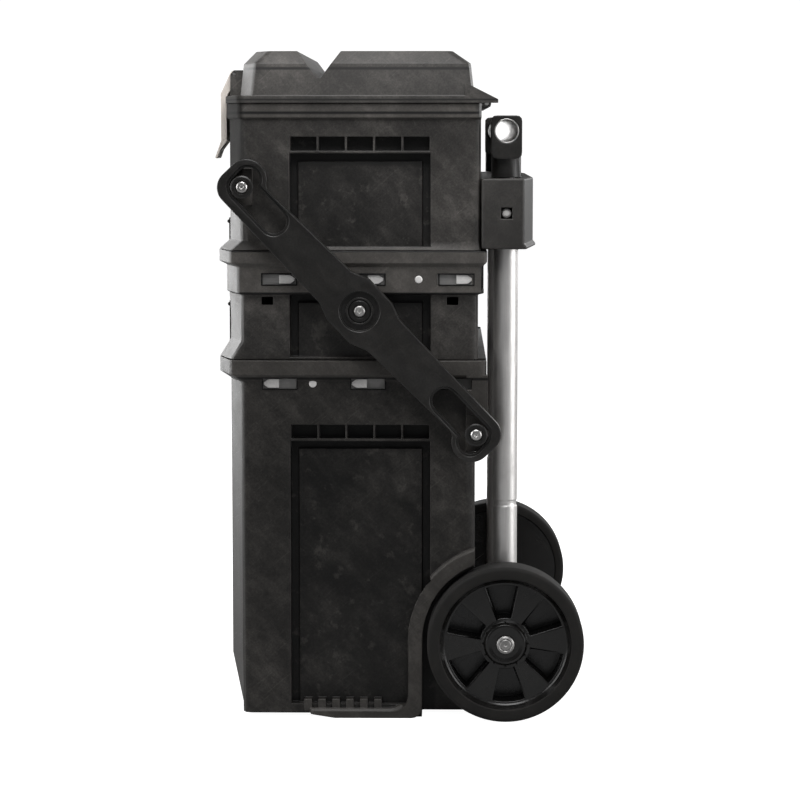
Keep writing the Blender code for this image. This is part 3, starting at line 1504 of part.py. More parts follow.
for side_name, side_sign in sides:
    lower = make_slide("bin", half_width - plastic_wall, bin_rail_z, tray_bottom_z,
                       side_name, side_sign)
    carry(lower_middle_axis, lower[1])
    carry(tray_axis, lower[2])
    upper = make_slide("tray", tray_half_width + tray_band_out - plastic_wall, tray_rail_z,
                       box_bottom_z, side_name, side_sign)
    carry(tray_axis, upper[0])
    carry(upper_middle_axis, upper[1])
    carry(box_axis, upper[2])
    bolt_x = lever_inner_x + lever_thick + seat_gap
    make_bolt("lower_pivot_bolt", side_name, side_sign,
              (pivot_y + pivot_half_y, pivot_z - pivot_half_z), bolt_x)
    carry(box_axis, make_bolt("upper_pivot_bolt", side_name, side_sign,
                              (pivot_y - pivot_half_y, pivot_z + pivot_half_z), bolt_x))
    carry(tray_axis, make_bolt("centre_pivot_bolt", side_name, side_sign, (pivot_y, pivot_z),
                               bolt_x - hub_dish_depth))
    lever_axis = joint_empty(f"lever_{side_name}_axis",
                             (side_sign * lever_inner_x, pivot_y, pivot_z), tray_axis)
    carry(lever_axis, make_lever(side_name, side_sign))
    carry(box_axis, *make_tube(side_name, side_sign), make_cap(side_name, side_sign))
    button_axis = joint_empty(f"lock_button_{side_name}_axis",
                              (side_sign * tube_x, axle_y, button_z), box_axis)
    carry(button_axis, make_button(side_name, side_sign))
    wheel_axis = joint_empty(f"wheel_{side_name}_axis", (side_sign * wheel_inner_x, axle_y, axle_z),
                             box_axis)
    carry(wheel_axis, *make_wheel(side_name, side_sign))
    make_lid_latch(side_name, side_sign)
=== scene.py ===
# %% [markdown]
# # Rolling toolbox
#
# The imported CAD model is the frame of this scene: it gives the size and place of every part and
# the bodies that move. This script adds the looks: round parts are turned with fine steps,
# moulded parts get rounded edges, and every surface gets a procedural finish.

import math

import bmesh
import bpy
from mathutils import Matrix, Vector


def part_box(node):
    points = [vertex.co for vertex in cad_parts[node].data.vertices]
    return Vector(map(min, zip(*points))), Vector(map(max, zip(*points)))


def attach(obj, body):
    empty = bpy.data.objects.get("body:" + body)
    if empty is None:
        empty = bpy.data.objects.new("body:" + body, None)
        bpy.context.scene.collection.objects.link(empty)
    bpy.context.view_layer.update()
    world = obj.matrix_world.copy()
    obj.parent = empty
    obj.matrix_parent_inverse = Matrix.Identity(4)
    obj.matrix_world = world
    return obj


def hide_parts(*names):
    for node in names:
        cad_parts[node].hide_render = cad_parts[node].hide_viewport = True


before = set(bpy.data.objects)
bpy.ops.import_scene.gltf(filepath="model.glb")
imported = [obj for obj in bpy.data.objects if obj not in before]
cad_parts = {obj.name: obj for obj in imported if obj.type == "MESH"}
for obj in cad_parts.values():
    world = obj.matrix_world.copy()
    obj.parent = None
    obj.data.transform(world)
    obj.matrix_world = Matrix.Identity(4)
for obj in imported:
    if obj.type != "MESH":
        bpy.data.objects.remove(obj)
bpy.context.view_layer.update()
sides = (("right", 1), ("left", -1))

# %% [markdown]
# ## Shader maths as plain expressions
#
# A Math node does one sum, so a formula takes many nodes. The small class below wraps a socket
# and overloads the operators, so that `1 - mask * 0.5` adds the nodes by itself. Any other node,
# in a material or in a geometry tree, comes from add_node: settings first, then its sockets.

# %% A socket that can be calculated with
def number_or_socket(tree, value, target):
    """Link a wrapped or a plain socket to a target, or write a plain value into it."""
    if isinstance(value, Wire):
        value = value.socket
    if isinstance(value, bpy.types.NodeSocket):
        tree.links.new(value, target)
    else:
        target.default_value = value


def add_node(tree, kind, settings, sockets):
    """One node of any tree, with its settings, then the values or links of its sockets."""
    made = tree.nodes.new(kind)
    for key, value in settings.items():
        setattr(made, key, value)
    for key, value in sockets.items():
        number_or_socket(tree, value, made.inputs[key])
    return made


class Wire:
    """A socket of a node tree that takes part in sums."""

    def __init__(self, tree, socket):
        self.tree = tree
        self.socket = socket

    def math(self, operation, first, second):
        """One Math node."""
        node = add_node(
            self.tree, "ShaderNodeMath", {"operation": operation}, {0: first, 1: second})
        return Wire(self.tree, node.outputs[0])

    def __add__(self, other):
        return self.math("ADD", self, other)

    def __radd__(self, other):
        return self.math("ADD", other, self)

    def __sub__(self, other):
        return self.math("SUBTRACT", self, other)

    def __rsub__(self, other):
        return self.math("SUBTRACT", other, self)

    def __mul__(self, other):
        return self.math("MULTIPLY", self, other)

    def __abs__(self):
        return self.math("ABSOLUTE", self, 0.0)


print("sums on sockets are ready")


# %% A finish: one material and the methods that fill it
class Finish:
    """A Principled material under construction."""

    def __init__(self, name, metallic=0.0, specular=0.5):
        self.material = bpy.data.materials.new(name)
        self.material.use_nodes = True
        self.tree = self.material.node_tree
        self.shader = self.tree.nodes["Principled BSDF"]
        self.shader.inputs["Metallic"].default_value = metallic
        self.shader.inputs["Specular IOR Level"].default_value = specular
        self.place = self.node("ShaderNodeTexCoord", {}, {}, "Object")

    def node(self, kind, settings, sockets, output=0):
        """Any node of this material, wrapped at one of its outputs."""
        return Wire(self.tree, add_node(self.tree, kind, settings, sockets).outputs[output])

    def noise(self, scale, detail, rough=0.55, stretch=(1, 1, 1), turn=(0, 0, 0)):
        """Noise in metres on the piece. One Mapping node turns it, the next stretches it."""
        spot = self.place
        if any(turn):
            spot = self.node("ShaderNodeMapping", {}, {"Vector": spot, "Rotation": turn})
        spot = self.node("ShaderNodeMapping", {}, {"Vector": spot, "Scale": stretch})
        return self.node("ShaderNodeTexNoise", {}, {
            "Vector": spot, "Scale": scale, "Detail": detail, "Roughness": rough})

    def band(self, value, low, high):
        """A value spread so that low gives zero and high gives one."""
        spread = self.node("ShaderNodeValToRGB", {}, {"Fac": value})
        ends = spread.socket.node.color_ramp.elements
        ends[0].position, ends[1].position = low, high
        return spread

    def mask(self, name):
        """A named noise mask, from zero where it starts to one where it is full."""
        scale, detail, rough, start, full, *direction = noise_masks[name]
        return self.band(self.noise(scale, detail, rough, *direction), start, full)

    def ramp(self, value, low, high):
        """A straight rise from zero to one between two values of any size."""
        return self.node("ShaderNodeMapRange", {}, {0: value, 1: low, 2: high, 3: 0.0, 4: 1.0})

    def along(self, axis):
        """The place along X, Y or Z on the piece."""
        return self.node("ShaderNodeSeparateXYZ", {}, {0: self.place}, axis)

    def blend(self, mask, first, second):
        """Two colours mixed by a mask."""
        return self.node(
            "ShaderNodeMix", {"data_type": "RGBA"}, {0: mask, 6: first, 7: second}, 2)

    def finish(self, colour, roughness, height, depth):
        """Link the colour, the roughness and the relief to the shader."""
        relief = self.node("ShaderNodeBump", {}, {
            "Height": height, "Distance": depth, "Strength": 1.0})
        for key, value in (("Base Color", colour), ("Roughness", roughness), ("Normal", relief)):
            self.tree.links.new(value.socket, self.shader.inputs[key])
        return self.material


def grey(level, warmth=0.085):
    """A slightly warm grey."""
    return (level * (1 + warmth), level, level * (1 - warmth), 1.0)


print("finishes are ready")

# %% [markdown]
# ## Scuffed black plastic
#
# The boxes are moulded in black plastic with a fine grain. In the photo they are not evenly
# black: there are pale cloudy patches of dust, fine slanting scratches and small rubbed spots.
# Each of these is a noise of its own scale, and a noise stretched far along one turned direction
# makes scratches. The masks lighten the colour and change the roughness a little. On the stack
# the recesses are painted darker and their deep troughs darker still, as painted shade, and parts
# that stand out from the wall are painted lighter, as a painted highlight. Dark lines along the
# creases and under the rims and dark bands under the grips are painted shade, and the front corner
# below the latches gets a painted shadow.

# %% Noise masks
scratch_turn = (math.radians(-40), 0, 0)
cross_turn = (math.radians(42), 0, 0)
scratch_stretch = (3.0, 1.0, 30.0)
noise_masks = {
    # scale, detail, roughness, start, full, and a stretch and a turn where it has a direction
    "clouds": (9.0, 7.0, 0.62, 0.40, 0.70),
    "patches": (38.0, 7.0, 0.70, 0.47, 0.66, (1, 1.3, 0.8), scratch_turn),
    "blots": (52.0, 7.0, 0.68, 0.57, 0.65),
    "smears": (16.0, 6.0, 0.6, 0.48, 0.74, (1, 1, 4), cross_turn),
    "scratches": (15.0, 7.0, 0.72, 0.57, 0.70, scratch_stretch, scratch_turn),
    "crossing": (11.0, 7.0, 0.72, 0.59, 0.74, scratch_stretch, cross_turn),
    "specks": (190.0, 3.0, 0.55, 0.66, 0.75),
    "stains": (38.0, 5.0, 0.55, 0.48, 0.74),
    "dents": (260.0, 3.0, 0.55, 0.66, 0.76),
    "tyre_dust": (60.0, 6.0, 0.55, 0.45, 0.80),
    "tyre_film": (14.0, 4.0, 0.55, 0.35, 0.75),
}
print("noise masks:", len(noise_masks))

# %% Plastic finishes
# Each reach says how far inside the side wall a mask begins and where it is full.
wall_x = 0.2535
recess_y = (-0.1280, 0.0440)
corner_y = -0.1710
fade = 0.0040
recess_reach = (0.030, 0.022)
outer_reach = (0.007, 0.0)
deep_reach = (0.0125, 0.0085)
proud_highlight_reach = (-0.0020, -0.0060)


def scuffed_and_shaded_plastic(name, dark, pale, roughness, wear, recessed=False, crease_shade_lines=(),
                    painted_grip_shadows=(), shine=0.5, painted_corner_shadow_heights=None):
    """Moulded plastic with dust, scratches and rubbed spots. The factors are shares.

    Recessed paints the side recesses darker and their deep troughs darker still, as painted shade,
    and paints the parts that stand out from the wall lighter, as a painted highlight. Crease lines
    are painted shade in dark lines and grip shadows are painted shadows in dark bands in the
    recesses, both given as height and reach. Between the two heights of the corner shade the front
    corner is painted dark, a painted shadow, and made matt.
    """
    made = Finish(name, specular=shine)
    clouds, patches, blots, smears, scratches, crossing, specks = map(made.mask, (
        "clouds", "patches", "blots", "smears", "scratches", "crossing", "specks"))
    mottle = made.noise(480.0, 3.0, 0.8)
    dust = (clouds * 0.20 + patches * (0.10 + clouds * 0.28) + smears * 0.14) * wear
    lines = (scratches * 0.36 + crossing * 0.24) * wear
    dust_and_shade = dust + specks * 0.16 * wear + lines * (0.30 + clouds * 0.70)
    dust_and_shade = dust_and_shade * (0.45 + mottle * 1.10) + (mottle - 0.5) * 0.50
    if recessed:
        outer, deep, proud_highlight, inside = (
            made.ramp(abs(made.along(0)), wall_x - start, wall_x - full)
            for start, full in (outer_reach, deep_reach, proud_highlight_reach, recess_reach))
        back, front = recess_y
        inside = inside * (made.ramp(made.along(1), back, back + fade)
                           - made.ramp(made.along(1), front - fade, front))
        outer = 1 - (1 - outer) * inside
        deep = 1 - (1 - deep) * inside
        # Painted shade: the pale share is thinned in the recesses and thinned more in their deep
        # troughs.
        dust_and_shade = dust_and_shade * (0.62 + outer * 0.38) * (0.25 + deep * 0.75) + outer * 0.12
        # Blots are dust. The paler tone where parts stand out from the wall is a painted
        # highlight.
        dust_and_shade = dust_and_shade + blots * (0.30 - outer * 0.20) + proud_highlight * 0.34
        # Painted shadows: dark bands under the grips, inside the recesses only.
        for height, reach in painted_grip_shadows:
            dust_and_shade = dust_and_shade * (1 - (1 - made.ramp(abs(made.along(2) - height), reach * 0.6, reach))
                           * (1 - outer))
    rough = roughness + dust * 0.22 - lines * 0.10
    # Painted shadow: the front corner below the latch is darkened, and its roughness is raised
    # too.
    if painted_corner_shadow_heights:
        low, high = painted_corner_shadow_heights
        corner_shadow = made.ramp(made.along(2), low - fade * 3, low) - made.ramp(
            made.along(2), high, high + fade / 4)
        corner_shadow = corner_shadow * (1 - made.ramp(made.along(1), corner_y, corner_y + fade))
        dust_and_shade = dust_and_shade * (1 - corner_shadow * 0.7)
        rough = rough + corner_shadow * 0.55
    colour = made.blend(dust_and_shade, grey(dark), grey(pale))
    # Painted shade: dark lines along the creases and under the rims.
    for height, reach in crease_shade_lines:
        away = made.ramp(abs(made.along(2) - height), reach * 0.3, reach)
        colour = made.blend(away, grey(dark * 0.25), colour)
    grain = made.noise(1500.0, 2.0)
    rough = rough + (grain - 0.5) * 0.10
    height = grain * 0.5 + scratches * -0.5
    return made.finish(colour, rough, height, 0.00009)


bin_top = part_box("lower_bin")[1].z
tray_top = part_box("middle_tray")[1].z
box_base, box_top = (corner.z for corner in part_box("upper_box"))
lid_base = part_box("lid")[0].z
# The tray and the upper box get painted crease shade, painted grip shadows and a painted shadow on
# the front corner.
shell_plastic = scuffed_and_shaded_plastic(
    "scuffed_shell_plastic_painted_shade", 0.0045, 0.092, 0.47, 1.25, True, shine=0.42,
    crease_shade_lines=((box_top - 0.0155, 0.0022), (tray_top, 0.0016), (tray_top - 0.0465, 0.0020)),
    painted_grip_shadows=((box_base + 0.1010, 0.0095), (tray_top - 0.0520, 0.0100)),
    painted_corner_shadow_heights=(0.606, 0.700))
# The bin's dark and pale are lower than the shell's, a shaded copy of the same plastic: painted
# shade.
bin_plastic = scuffed_and_shaded_plastic(
    "scuffed_bin_plastic_painted_shade", 0.0022, 0.060, 0.46, 1.25, True, shine=0.30,
    crease_shade_lines=((bin_top - 0.0200, 0.0022),), painted_grip_shadows=((bin_top - 0.0885, 0.0110),))
# The lid gets painted crease shade and a painted shadow on its front corner.
lid_plastic = scuffed_and_shaded_plastic(
    "dusty_lid_plastic_painted_shade", 0.022, 0.118, 0.50, 1.1,
    crease_shade_lines=((lid_base + 0.0430, 0.0022), (lid_base + 0.0088, 0.0014)),
    painted_corner_shadow_heights=(lid_base - 0.010, lid_base + 0.0125))
lever_plastic = scuffed_and_shaded_plastic("lever_plastic", 0.0060, 0.046, 0.34, 0.7)
housing_plastic = scuffed_and_shaded_plastic("housing_plastic", 0.016, 0.070, 0.50, 0.8)
bracket_plastic = scuffed_and_shaded_plastic("bracket_plastic", 0.0070, 0.040, 0.38, 0.5)
# Near-black plastic for the window frames, which are painted shade at the window edges.
window_shade_plastic = scuffed_and_shaded_plastic("window_shade_frame_plastic", 0.0008, 0.006, 0.60, 0.3, shine=0.15)
wheel_plastic = scuffed_and_shaded_plastic("wheel_plastic", 0.0030, 0.026, 0.24, 0.5)
washer_plastic = scuffed_and_shaded_plastic("washer_plastic", 0.0050, 0.026, 0.36, 0.35)
bush_plastic = scuffed_and_shaded_plastic("bush_plastic", 0.34, 0.42, 0.45, 0.4)
latch_plastic = scuffed_and_shaded_plastic("silver_latch_plastic", 0.60, 0.78, 0.42, 0.7)
print("plastics:", 11)

# %% [markdown]
# ## Metals and rubber
#
# The tubes are drawn aluminium, so their faint lines run along their length: the noise is
# stretched along Z. The small steel parts are zinc plated, with a soft mottled lustre, and the
# tongues in the windows are paler. The tyres are dull rubber with a little dust.

# %% Metal and rubber finishes
def drawn_metal(name, level, roughness, stretch, stain=0.35, metallic=1.0):
    """Metal with fine lines along one direction and faint stains."""
    made = Finish(name, metallic)
    lines = made.noise(120.0, 4.0, stretch=stretch)
    stains, dents = made.mask("stains"), made.mask("dents")
    shade = (lines - 0.5) * 0.5 + 0.5 - stains * stain - dents * 0.2
    colour = made.blend(shade, grey(level * 0.55, 0.02), grey(level, 0.02))
    rough = roughness + stains * 0.16 + (lines - 0.5) * 0.12
    return made.finish(colour, rough, lines * 0.6 + dents * -0.4, 0.00003)


tube_metal = drawn_metal("drawn_aluminium", 0.95, 0.46, (9, 9, 0.25), 0.18)
zinc_metal = drawn_metal("zinc_plated_steel", 0.78, 0.30, (3, 3, 3))
slide_metal = drawn_metal("rolled_slide_steel", 0.34, 0.50, (4, 0.3, 9), 0.6, 0.4)
tongue_metal = drawn_metal("pale_tongue_steel", 0.95, 0.55, (3, 3, 3), 0.15, 0.3)
cap_metal = drawn_metal("dull_cap_steel", 0.42, 0.42, (3, 3, 3))
bar_metal = drawn_metal("dull_bar_aluminium", 0.85, 0.32, (9, 0.25, 9), 0.18)


def tyre_rubber():
    """Dull rubber with a dusty tread."""
    made = Finish("tyre_rubber", specular=0.30)
    dust, dust_and_shade = made.mask("tyre_dust"), made.mask("tyre_film")
    grain = made.noise(900.0, 3.0)
    colour = made.blend(dust * 0.5 + dust_and_shade * 0.3, grey(0.0060), grey(0.024))
    return made.finish(colour, 0.78 + dust * 0.2, grain, 0.00012)


rubber = tyre_rubber()
print("metals and rubber:", 7)

# %% [markdown]
# ## Helpers for meshes
#
# Round parts are a closed profile turned about an axis, as a list of radius and place along the
# axis. Small fillets take its corners, because a real edge catches a line of light. Moulded parts
# start from a copy of their CAD node: its triangles are merged back into flat faces, and a Bevel
# modifier rounds the edges.

# %% Turned parts
def smoothed(piece, angle):
    """Shade a piece smoothly except at edges sharper than an angle in degrees."""
    piece.data.shade_smooth()
    piece.data.set_sharp_from_angle(angle=math.radians(angle))
    return piece


def linked(name, data):
    """A new object in the scene."""
    made = bpy.data.objects.new(name, data)
    bpy.context.scene.collection.objects.link(made)
    return made


def object_from(name, shape, finish):
    """Turn a bmesh into a linked object with one finish and its faces pointing out."""
    bmesh.ops.recalc_face_normals(shape, faces=shape.faces)
    mesh = bpy.data.meshes.new(name)
    shape.to_mesh(mesh)
    shape.free()
    mesh.materials.append(finish)
    return linked(name, mesh)


def filleted(profile, radius, steps=4):
    """A closed profile whose corners are arcs where there is room for them."""
    made = []
    for index, here in enumerate(profile):
        spot = Vector(here)
        before = Vector(profile[index - 1]) - spot
        after = Vector(profile[(index + 1) % len(profile)]) - spot
        room = min(before.length, after.length) * 0.45
        half = before.angle(after) / 2
        if here[0] <= 0 or half > math.radians(86):
            made.append(here)
            continue
        reach = min(radius / math.tan(half), room)
        size = reach * math.tan(half)
        middle = (before.normalized() + after.normalized()).normalized()
        centre = spot + middle * (size / math.sin(half))
        start = spot + before.normalized() * reach - centre
        turn = start.angle_signed(spot + after.normalized() * reach - centre)
        for step in range(steps + 1):
            angle = -turn * step / steps
            c, s = math.cos(angle), math.sin(angle)
            made.append((
                centre.x + start.x * c - start.y * s, centre.y + start.x * s + start.y * c))
    return made


turned_sharp = 38
moulded_sharp = 50
merge_gap = 0.000002


def turned(name, profile, finish, place, steps=48, fillet=0.0004, axis="X", sign=1):
    """A closed profile of (radius, place along the axis) turned into a solid.

    A sign of -1 mirrors it for the left side.
    """
    shape = bmesh.new()
    profile = [(r, sign * h) for r, h in profile]
    verts = [shape.verts.new((r, 0, h)) for r, h in filleted(profile, fillet)]
    for index, vert in enumerate(verts):
        after = verts[(index + 1) % len(verts)]
        if max(vert.co.x, after.co.x) > 0:
            shape.edges.new((vert, after))
    bmesh.ops.spin(
        shape, geom=shape.verts[:] + shape.edges[:], cent=(0, 0, 0), axis=(0, 0, 1),
        angle=2 * math.pi, steps=steps, use_merge=True, use_duplicate=False,
    )
    bmesh.ops.remove_doubles(shape, verts=shape.verts, dist=merge_gap)
    turn = Matrix.Rotation(math.pi / 2, 4, "Y") if axis == "X" else Matrix.Identity(4)
    bmesh.ops.transform(shape, matrix=Matrix.Translation(place) @ turn, verts=shape.verts)
    return smoothed(object_from(name, shape, finish), turned_sharp)


print("turned parts are ready")


# %% Moulded parts
def evaluated_mesh(piece):
    """The mesh of a piece as its modifiers or its curve settings make it."""
    graph = bpy.context.evaluated_depsgraph_get()
    return bpy.data.meshes.new_from_object(piece.evaluated_get(graph))


def modifiers_applied(piece):
    """Replace a piece's mesh by its evaluated mesh and drop the modifiers."""
    mesh = evaluated_mesh(piece)
    piece.modifiers.clear()
    piece.data = mesh
    return piece


def evened(piece):
    """Shade a piece smoothly, with its large faces flat."""
    smoothed(piece, moulded_sharp)
    even = piece.modifiers.new("Weighted normals", "WEIGHTED_NORMAL")
    even.keep_sharp = True
    return modifiers_applied(piece)


def bevelled(piece, width, segments=2, angle=28):
    """Round the sharp edges of a piece and shade it as one smooth moulding."""
    bevel = piece.modifiers.new("Bevel", "BEVEL")
    bevel.width = width
    bevel.segments = segments
    bevel.limit_method = "ANGLE"
    bevel.angle_limit = math.radians(angle)
    bevel.use_clamp_overlap = False
    modifiers_applied(piece)
    return evened(piece)


def opened(piece, cutter):
    """Cut a piece with another one by a Boolean, and drop the cutter."""
    cut = piece.modifiers.new("Opening", "BOOLEAN")
    cut.operation = "DIFFERENCE"
    cut.solver = "EXACT"
    cut.object = cutter
    modifiers_applied(piece)
    bpy.data.objects.remove(cutter)


def moulded(node, finish, width, segments=2, angle=28, cutters=()):
    """A copy of a CAD node with flat faces, openings by cutters and rounded edges."""
    shape = bmesh.new()
    shape.from_mesh(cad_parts[node].data)
    bmesh.ops.remove_doubles(shape, verts=shape.verts, dist=merge_gap * 5)
    bmesh.ops.dissolve_limit(
        shape, angle_limit=math.radians(1.0), verts=shape.verts, edges=shape.edges)
    bmesh.ops.triangulate(shape, faces=shape.faces, ngon_method="BEAUTY")
    made = object_from(f"{node}_moulding", shape, finish)
    for cutter in cutters:
        opened(made, cutter)
    bevelled(made, width, segments, angle)
    low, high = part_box(node)
    for vert in made.data.vertices:
        vert.co = [min(max(value, a), b) for value, a, b in zip(vert.co, low, high)]
    return made


def dress(piece, node, body):
    """Hand a finished piece to the frame: what it stands for and what it moves with."""
    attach(piece, body)
    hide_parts(node)


def reach_x(node):
    """The least and the greatest distance of a CAD node from the middle plane."""
    low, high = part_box(node)
    return sorted((abs(low.x), abs(high.x)))


def axis_place(node):
    """The place of a CAD node's own axis along X."""
    low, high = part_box(node)
    return (0, (low.y + high.y) / 2, (low.z + high.z) / 2)


def radius_of(node):
    """Half the height of a CAD node."""
    low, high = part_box(node)
    return (high.z - low.z) / 2


print("moulded parts are ready")

# %% [markdown]
# ## The four mouldings of the stack
#
# The bin, the tray, the upper box and the lid are right as CAD shapes. What they lack is the
# small radius that every moulded edge has, which draws the thin bright lines in the photo.

# %% Bin, tray, upper box and lid
edge_radius = 0.0008
for node, body, finish in (
    ("lower_bin", "bin", bin_plastic), ("middle_tray", "tray", shell_plastic),
    ("upper_box", "upper_box", shell_plastic), ("lid", "lid", lid_plastic),
):
    shell = moulded(node, finish, edge_radius)
    dress(shell, node, body)
    print(node, "faces:", len(shell.data.polygons))

# %% Latches on the front
latch_edge = 0.0005
for name, finish, slot in (
    ("lid_latch_right", latch_plastic, "latch"), ("lid_latch_left", latch_plastic, "latch"),
    ("tray_latch", shell_plastic, "shell"), ("box_latch", shell_plastic, "shell"),
):
    dress(moulded(name, finish, latch_edge), name, name)
    print("latch:", name)

# %% [markdown]
# ## Side levers
#
# Each lever is a thick moulded bar with a slot at both ends and a dished hub, all with a step
# round them. Three plates stacked on each other give these steps: the back one has the slots and
# the front one the wider openings. Sizes are places along and across the lever, u and v.

# %% Sizes of the lever
lever_back_x, lever_front_x = reach_x("side_lever_right")
pivot_y, pivot_z = axis_place("centre_pivot_bolt_right")[1:]
end_y, end_z = axis_place("upper_pivot_bolt_right")[1:]
lean = math.atan2(pivot_y - end_y, end_z - pivot_z)
lower_v = -0.0255
upper_v = 0.0236
waist = (0.1618, 0.0300)
waist_radius = 0.0120
corner = (0.1914, -0.0060)
corner_radius = 0.0195
lobe = (0.1889, 0.0095)
lobe_radius = 0.0220
hub_half = 0.032
hub_near = 0.0180
hub_far = 0.0372
slot_half = 0.0138
slot_v = -0.0002
slot_near = 0.1357
slot_far = 0.1863
nook = (0.1880, 0.0105)
nook_radius = 0.0130
hub_dish = 0.0210
step_width = 0.0026
print("lever lean:", round(math.degrees(lean), 1), "degrees")


# %% Outlines of the lever
def along_lever(u, v, end):
    """A point in the YZ plane from its place along and across the lever."""
    c, s = math.cos(lean), math.sin(lean)
    return (pivot_y + end * (v * c - u * s), pivot_z + end * (u * c + v * s))


def arc(u, v, radius, start, sweep, steps):
    """Points of an arc in the lever's own directions, in degrees."""
    turns = [math.radians(start + sweep * step / steps) for step in range(steps + 1)]
    return [(u + radius * math.cos(t), v + radius * math.sin(t)) for t in turns]


def lever_outline():
    """The outline of the whole lever, with a rounded waist behind each end."""
    points = []
    for end in (1, -1):
        half = [
            (hub_near, -hub_half), (hub_far, lower_v), *arc(*corner, corner_radius, -90, 90, 14),
            *arc(*lobe, lobe_radius, 0, 142.9, 22), *arc(*waist, waist_radius, -37.1, -55.4, 8),
            (hub_far, upper_v), (hub_near, hub_half),
        ]
        points += [along_lever(u, v, end) for u, v in half]
    return points


def slot_outline(end, grow):
    """The outline of one slot with its nook, made larger all round."""
    rise = (slot_v + slot_half + grow - nook[1]) / (nook_radius + grow)
    points = [
        *arc(slot_near, slot_v, slot_half + grow, 90, 180, 18),
        *arc(slot_far, slot_v, slot_half + grow, -90, 90, 12),
        *arc(*nook, nook_radius + grow, 0, 180 - math.degrees(math.asin(rise)), 20),
    ]
    return [along_lever(u, v, end) for u, v in points]


def hub_outline(radius):
    """A circle about the lever's pivot."""
    return [along_lever(u, v, 1) for u, v in arc(0, 0, radius, 0, 354, 59)]


print("lever outline points:", len(lever_outline()))


# %% Flat plates from outlines
def plate(name, outline, holes, start, end, radius):
    """A plate of a lever between two places on X, with holes and rounded edges."""
    curve = bpy.data.curves.new(name, "CURVE")
    curve.dimensions = "2D"
    curve.fill_mode = "BOTH"
    curve.extrude = abs(end - start) / 2 - radius
    curve.bevel_depth = radius
    curve.bevel_resolution = 2
    curve.offset = -radius
    for ring in [outline, *holes]:
        spline = curve.splines.new("POLY")
        spline.points.add(len(ring) - 1)
        for point, (a, b) in zip(spline.points, ring):
            point.co = (a, b, 0, 1)
        spline.use_cyclic_u = True
    holder = linked(name, curve)
    shape = bmesh.new()
    shape.from_mesh(evaluated_mesh(holder))
    bpy.data.objects.remove(holder)
    bmesh.ops.remove_doubles(shape, verts=shape.verts, dist=merge_gap)
    stand = Matrix(((0, 0, 1, (start + end) / 2), (1, 0, 0, 0), (0, 1, 0, 0), (0, 0, 0, 1)))
    bmesh.ops.transform(shape, matrix=stand, verts=shape.verts)
    return object_from(name, shape, lever_plastic)


def joined(name, pieces):
    """Put the meshes of several pieces into one object."""
    shape = bmesh.new()
    for piece in pieces:
        shape.from_mesh(piece.data)
        finish = piece.data.materials[0]
        bpy.data.objects.remove(piece)
    return smoothed(object_from(name, shape, finish), moulded_sharp)


print("plates are ready")

# %% Build both levers
bolt_hole = 0.0038
collar_outer = 0.0152
collar_inner = 0.0131
collar_depth = 0.0020
dish_depth = 0.0050
step_depth = 0.0026
lap = 0.00002
for side, sign in sides:
    slots = [slot_outline(1, 0), slot_outline(-1, 0)]
    steps_out = [slot_outline(1, step_width), slot_outline(-1, step_width)]
    bore = hub_outline(bolt_hole)
    layers = []
    for label, start, end, holes, edge in (
        ("back", lever_back_x, lever_front_x - dish_depth, [*slots, bore], 0.0006),
        ("middle", lever_front_x - dish_depth - lap, lever_front_x - step_depth,
         [*slots, hub_outline(hub_dish)], 0.0003),
        ("front", lever_front_x - step_depth - lap, lever_front_x,
         [*steps_out, hub_outline(hub_dish + 0.0012)], 0.0011),
    ):
        layers.append(plate(f"lever_{label}_{side}", lever_outline(), holes, sign * start,
                            sign * end, edge))
    layers.append(plate(
        f"lever_collar_{side}", hub_outline(collar_outer), [hub_outline(collar_inner)],
        sign * (lever_front_x - dish_depth), sign * (lever_front_x - collar_depth), 0.0005))
    lever = joined(f"side_lever_moulding_{side}", layers)
    dress(lever, f"side_lever_{side}", f"side_lever_{side}")
    print("lever", side, "faces:", len(lever.data.polygons))

# %% [markdown]
# ## Shoulder bolts
#
# Every lever turns on a steel bolt whose small domed head shines out of a dark plastic washer.
# The CAD bolt is one solid. Here it is two turned pieces, so that each has its own finish.

# %% Bolts with washers
washer_radius = 0.0124
washer_bore = 0.0036
washer_depth = 0.0030
head_radius = 0.0060
shank = 0.0035
bolt_bodies = {
    "lower_pivot_bolt": "bin", "centre_pivot_bolt": "tray", "upper_pivot_bolt": "upper_box"}
for name, body in bolt_bodies.items():
    for side, sign in sides:
        inner, outer = reach_x(f"{name}_{side}")
        centre = axis_place(f"{name}_{side}")
        base = outer - washer_depth
        washer = [
            (washer_bore, base), (washer_radius, base), (washer_radius, base + 0.0009),
            (washer_radius - 0.0016, base + 0.0016), (0.0082, base + 0.0016),
            (0.0074, base + 0.0006), (washer_bore, base + 0.0006),
        ]
        ring = turned(f"{name}_washer_{side}", washer, washer_plastic, centre, 64, 0.0003,
                      sign=sign)
        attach(ring, body)
        head = [
            (0, inner), (shank, inner), (shank, base + 0.0007), (head_radius, base + 0.0007),
            (head_radius, base + 0.0016), (head_radius * 0.82, outer - 0.0003),
            (0.0022, outer), (0.0016, outer - 0.0007), (0, outer - 0.0007),
        ]
        bolt = turned(f"{name}_head_{side}", head, zinc_metal, centre, 48, 0.0003, sign=sign)
        dress(bolt, f"{name}_{side}", body)
print("bolts:", 2 * len(bolt_bodies))

# %% [markdown]
# ## Wheels
#
# The wheel is a smooth rubber tyre on a moulded rim. The rim is a deep bowl: a barrel with a
# rounded lip, a web set back from the face, six wedge-shaped spokes and a hub that stands proud.
# The rim's section is turned, and the six openings are cut by a Boolean. The bevel afterwards
# gives every spoke the bright edge seen in the photo.

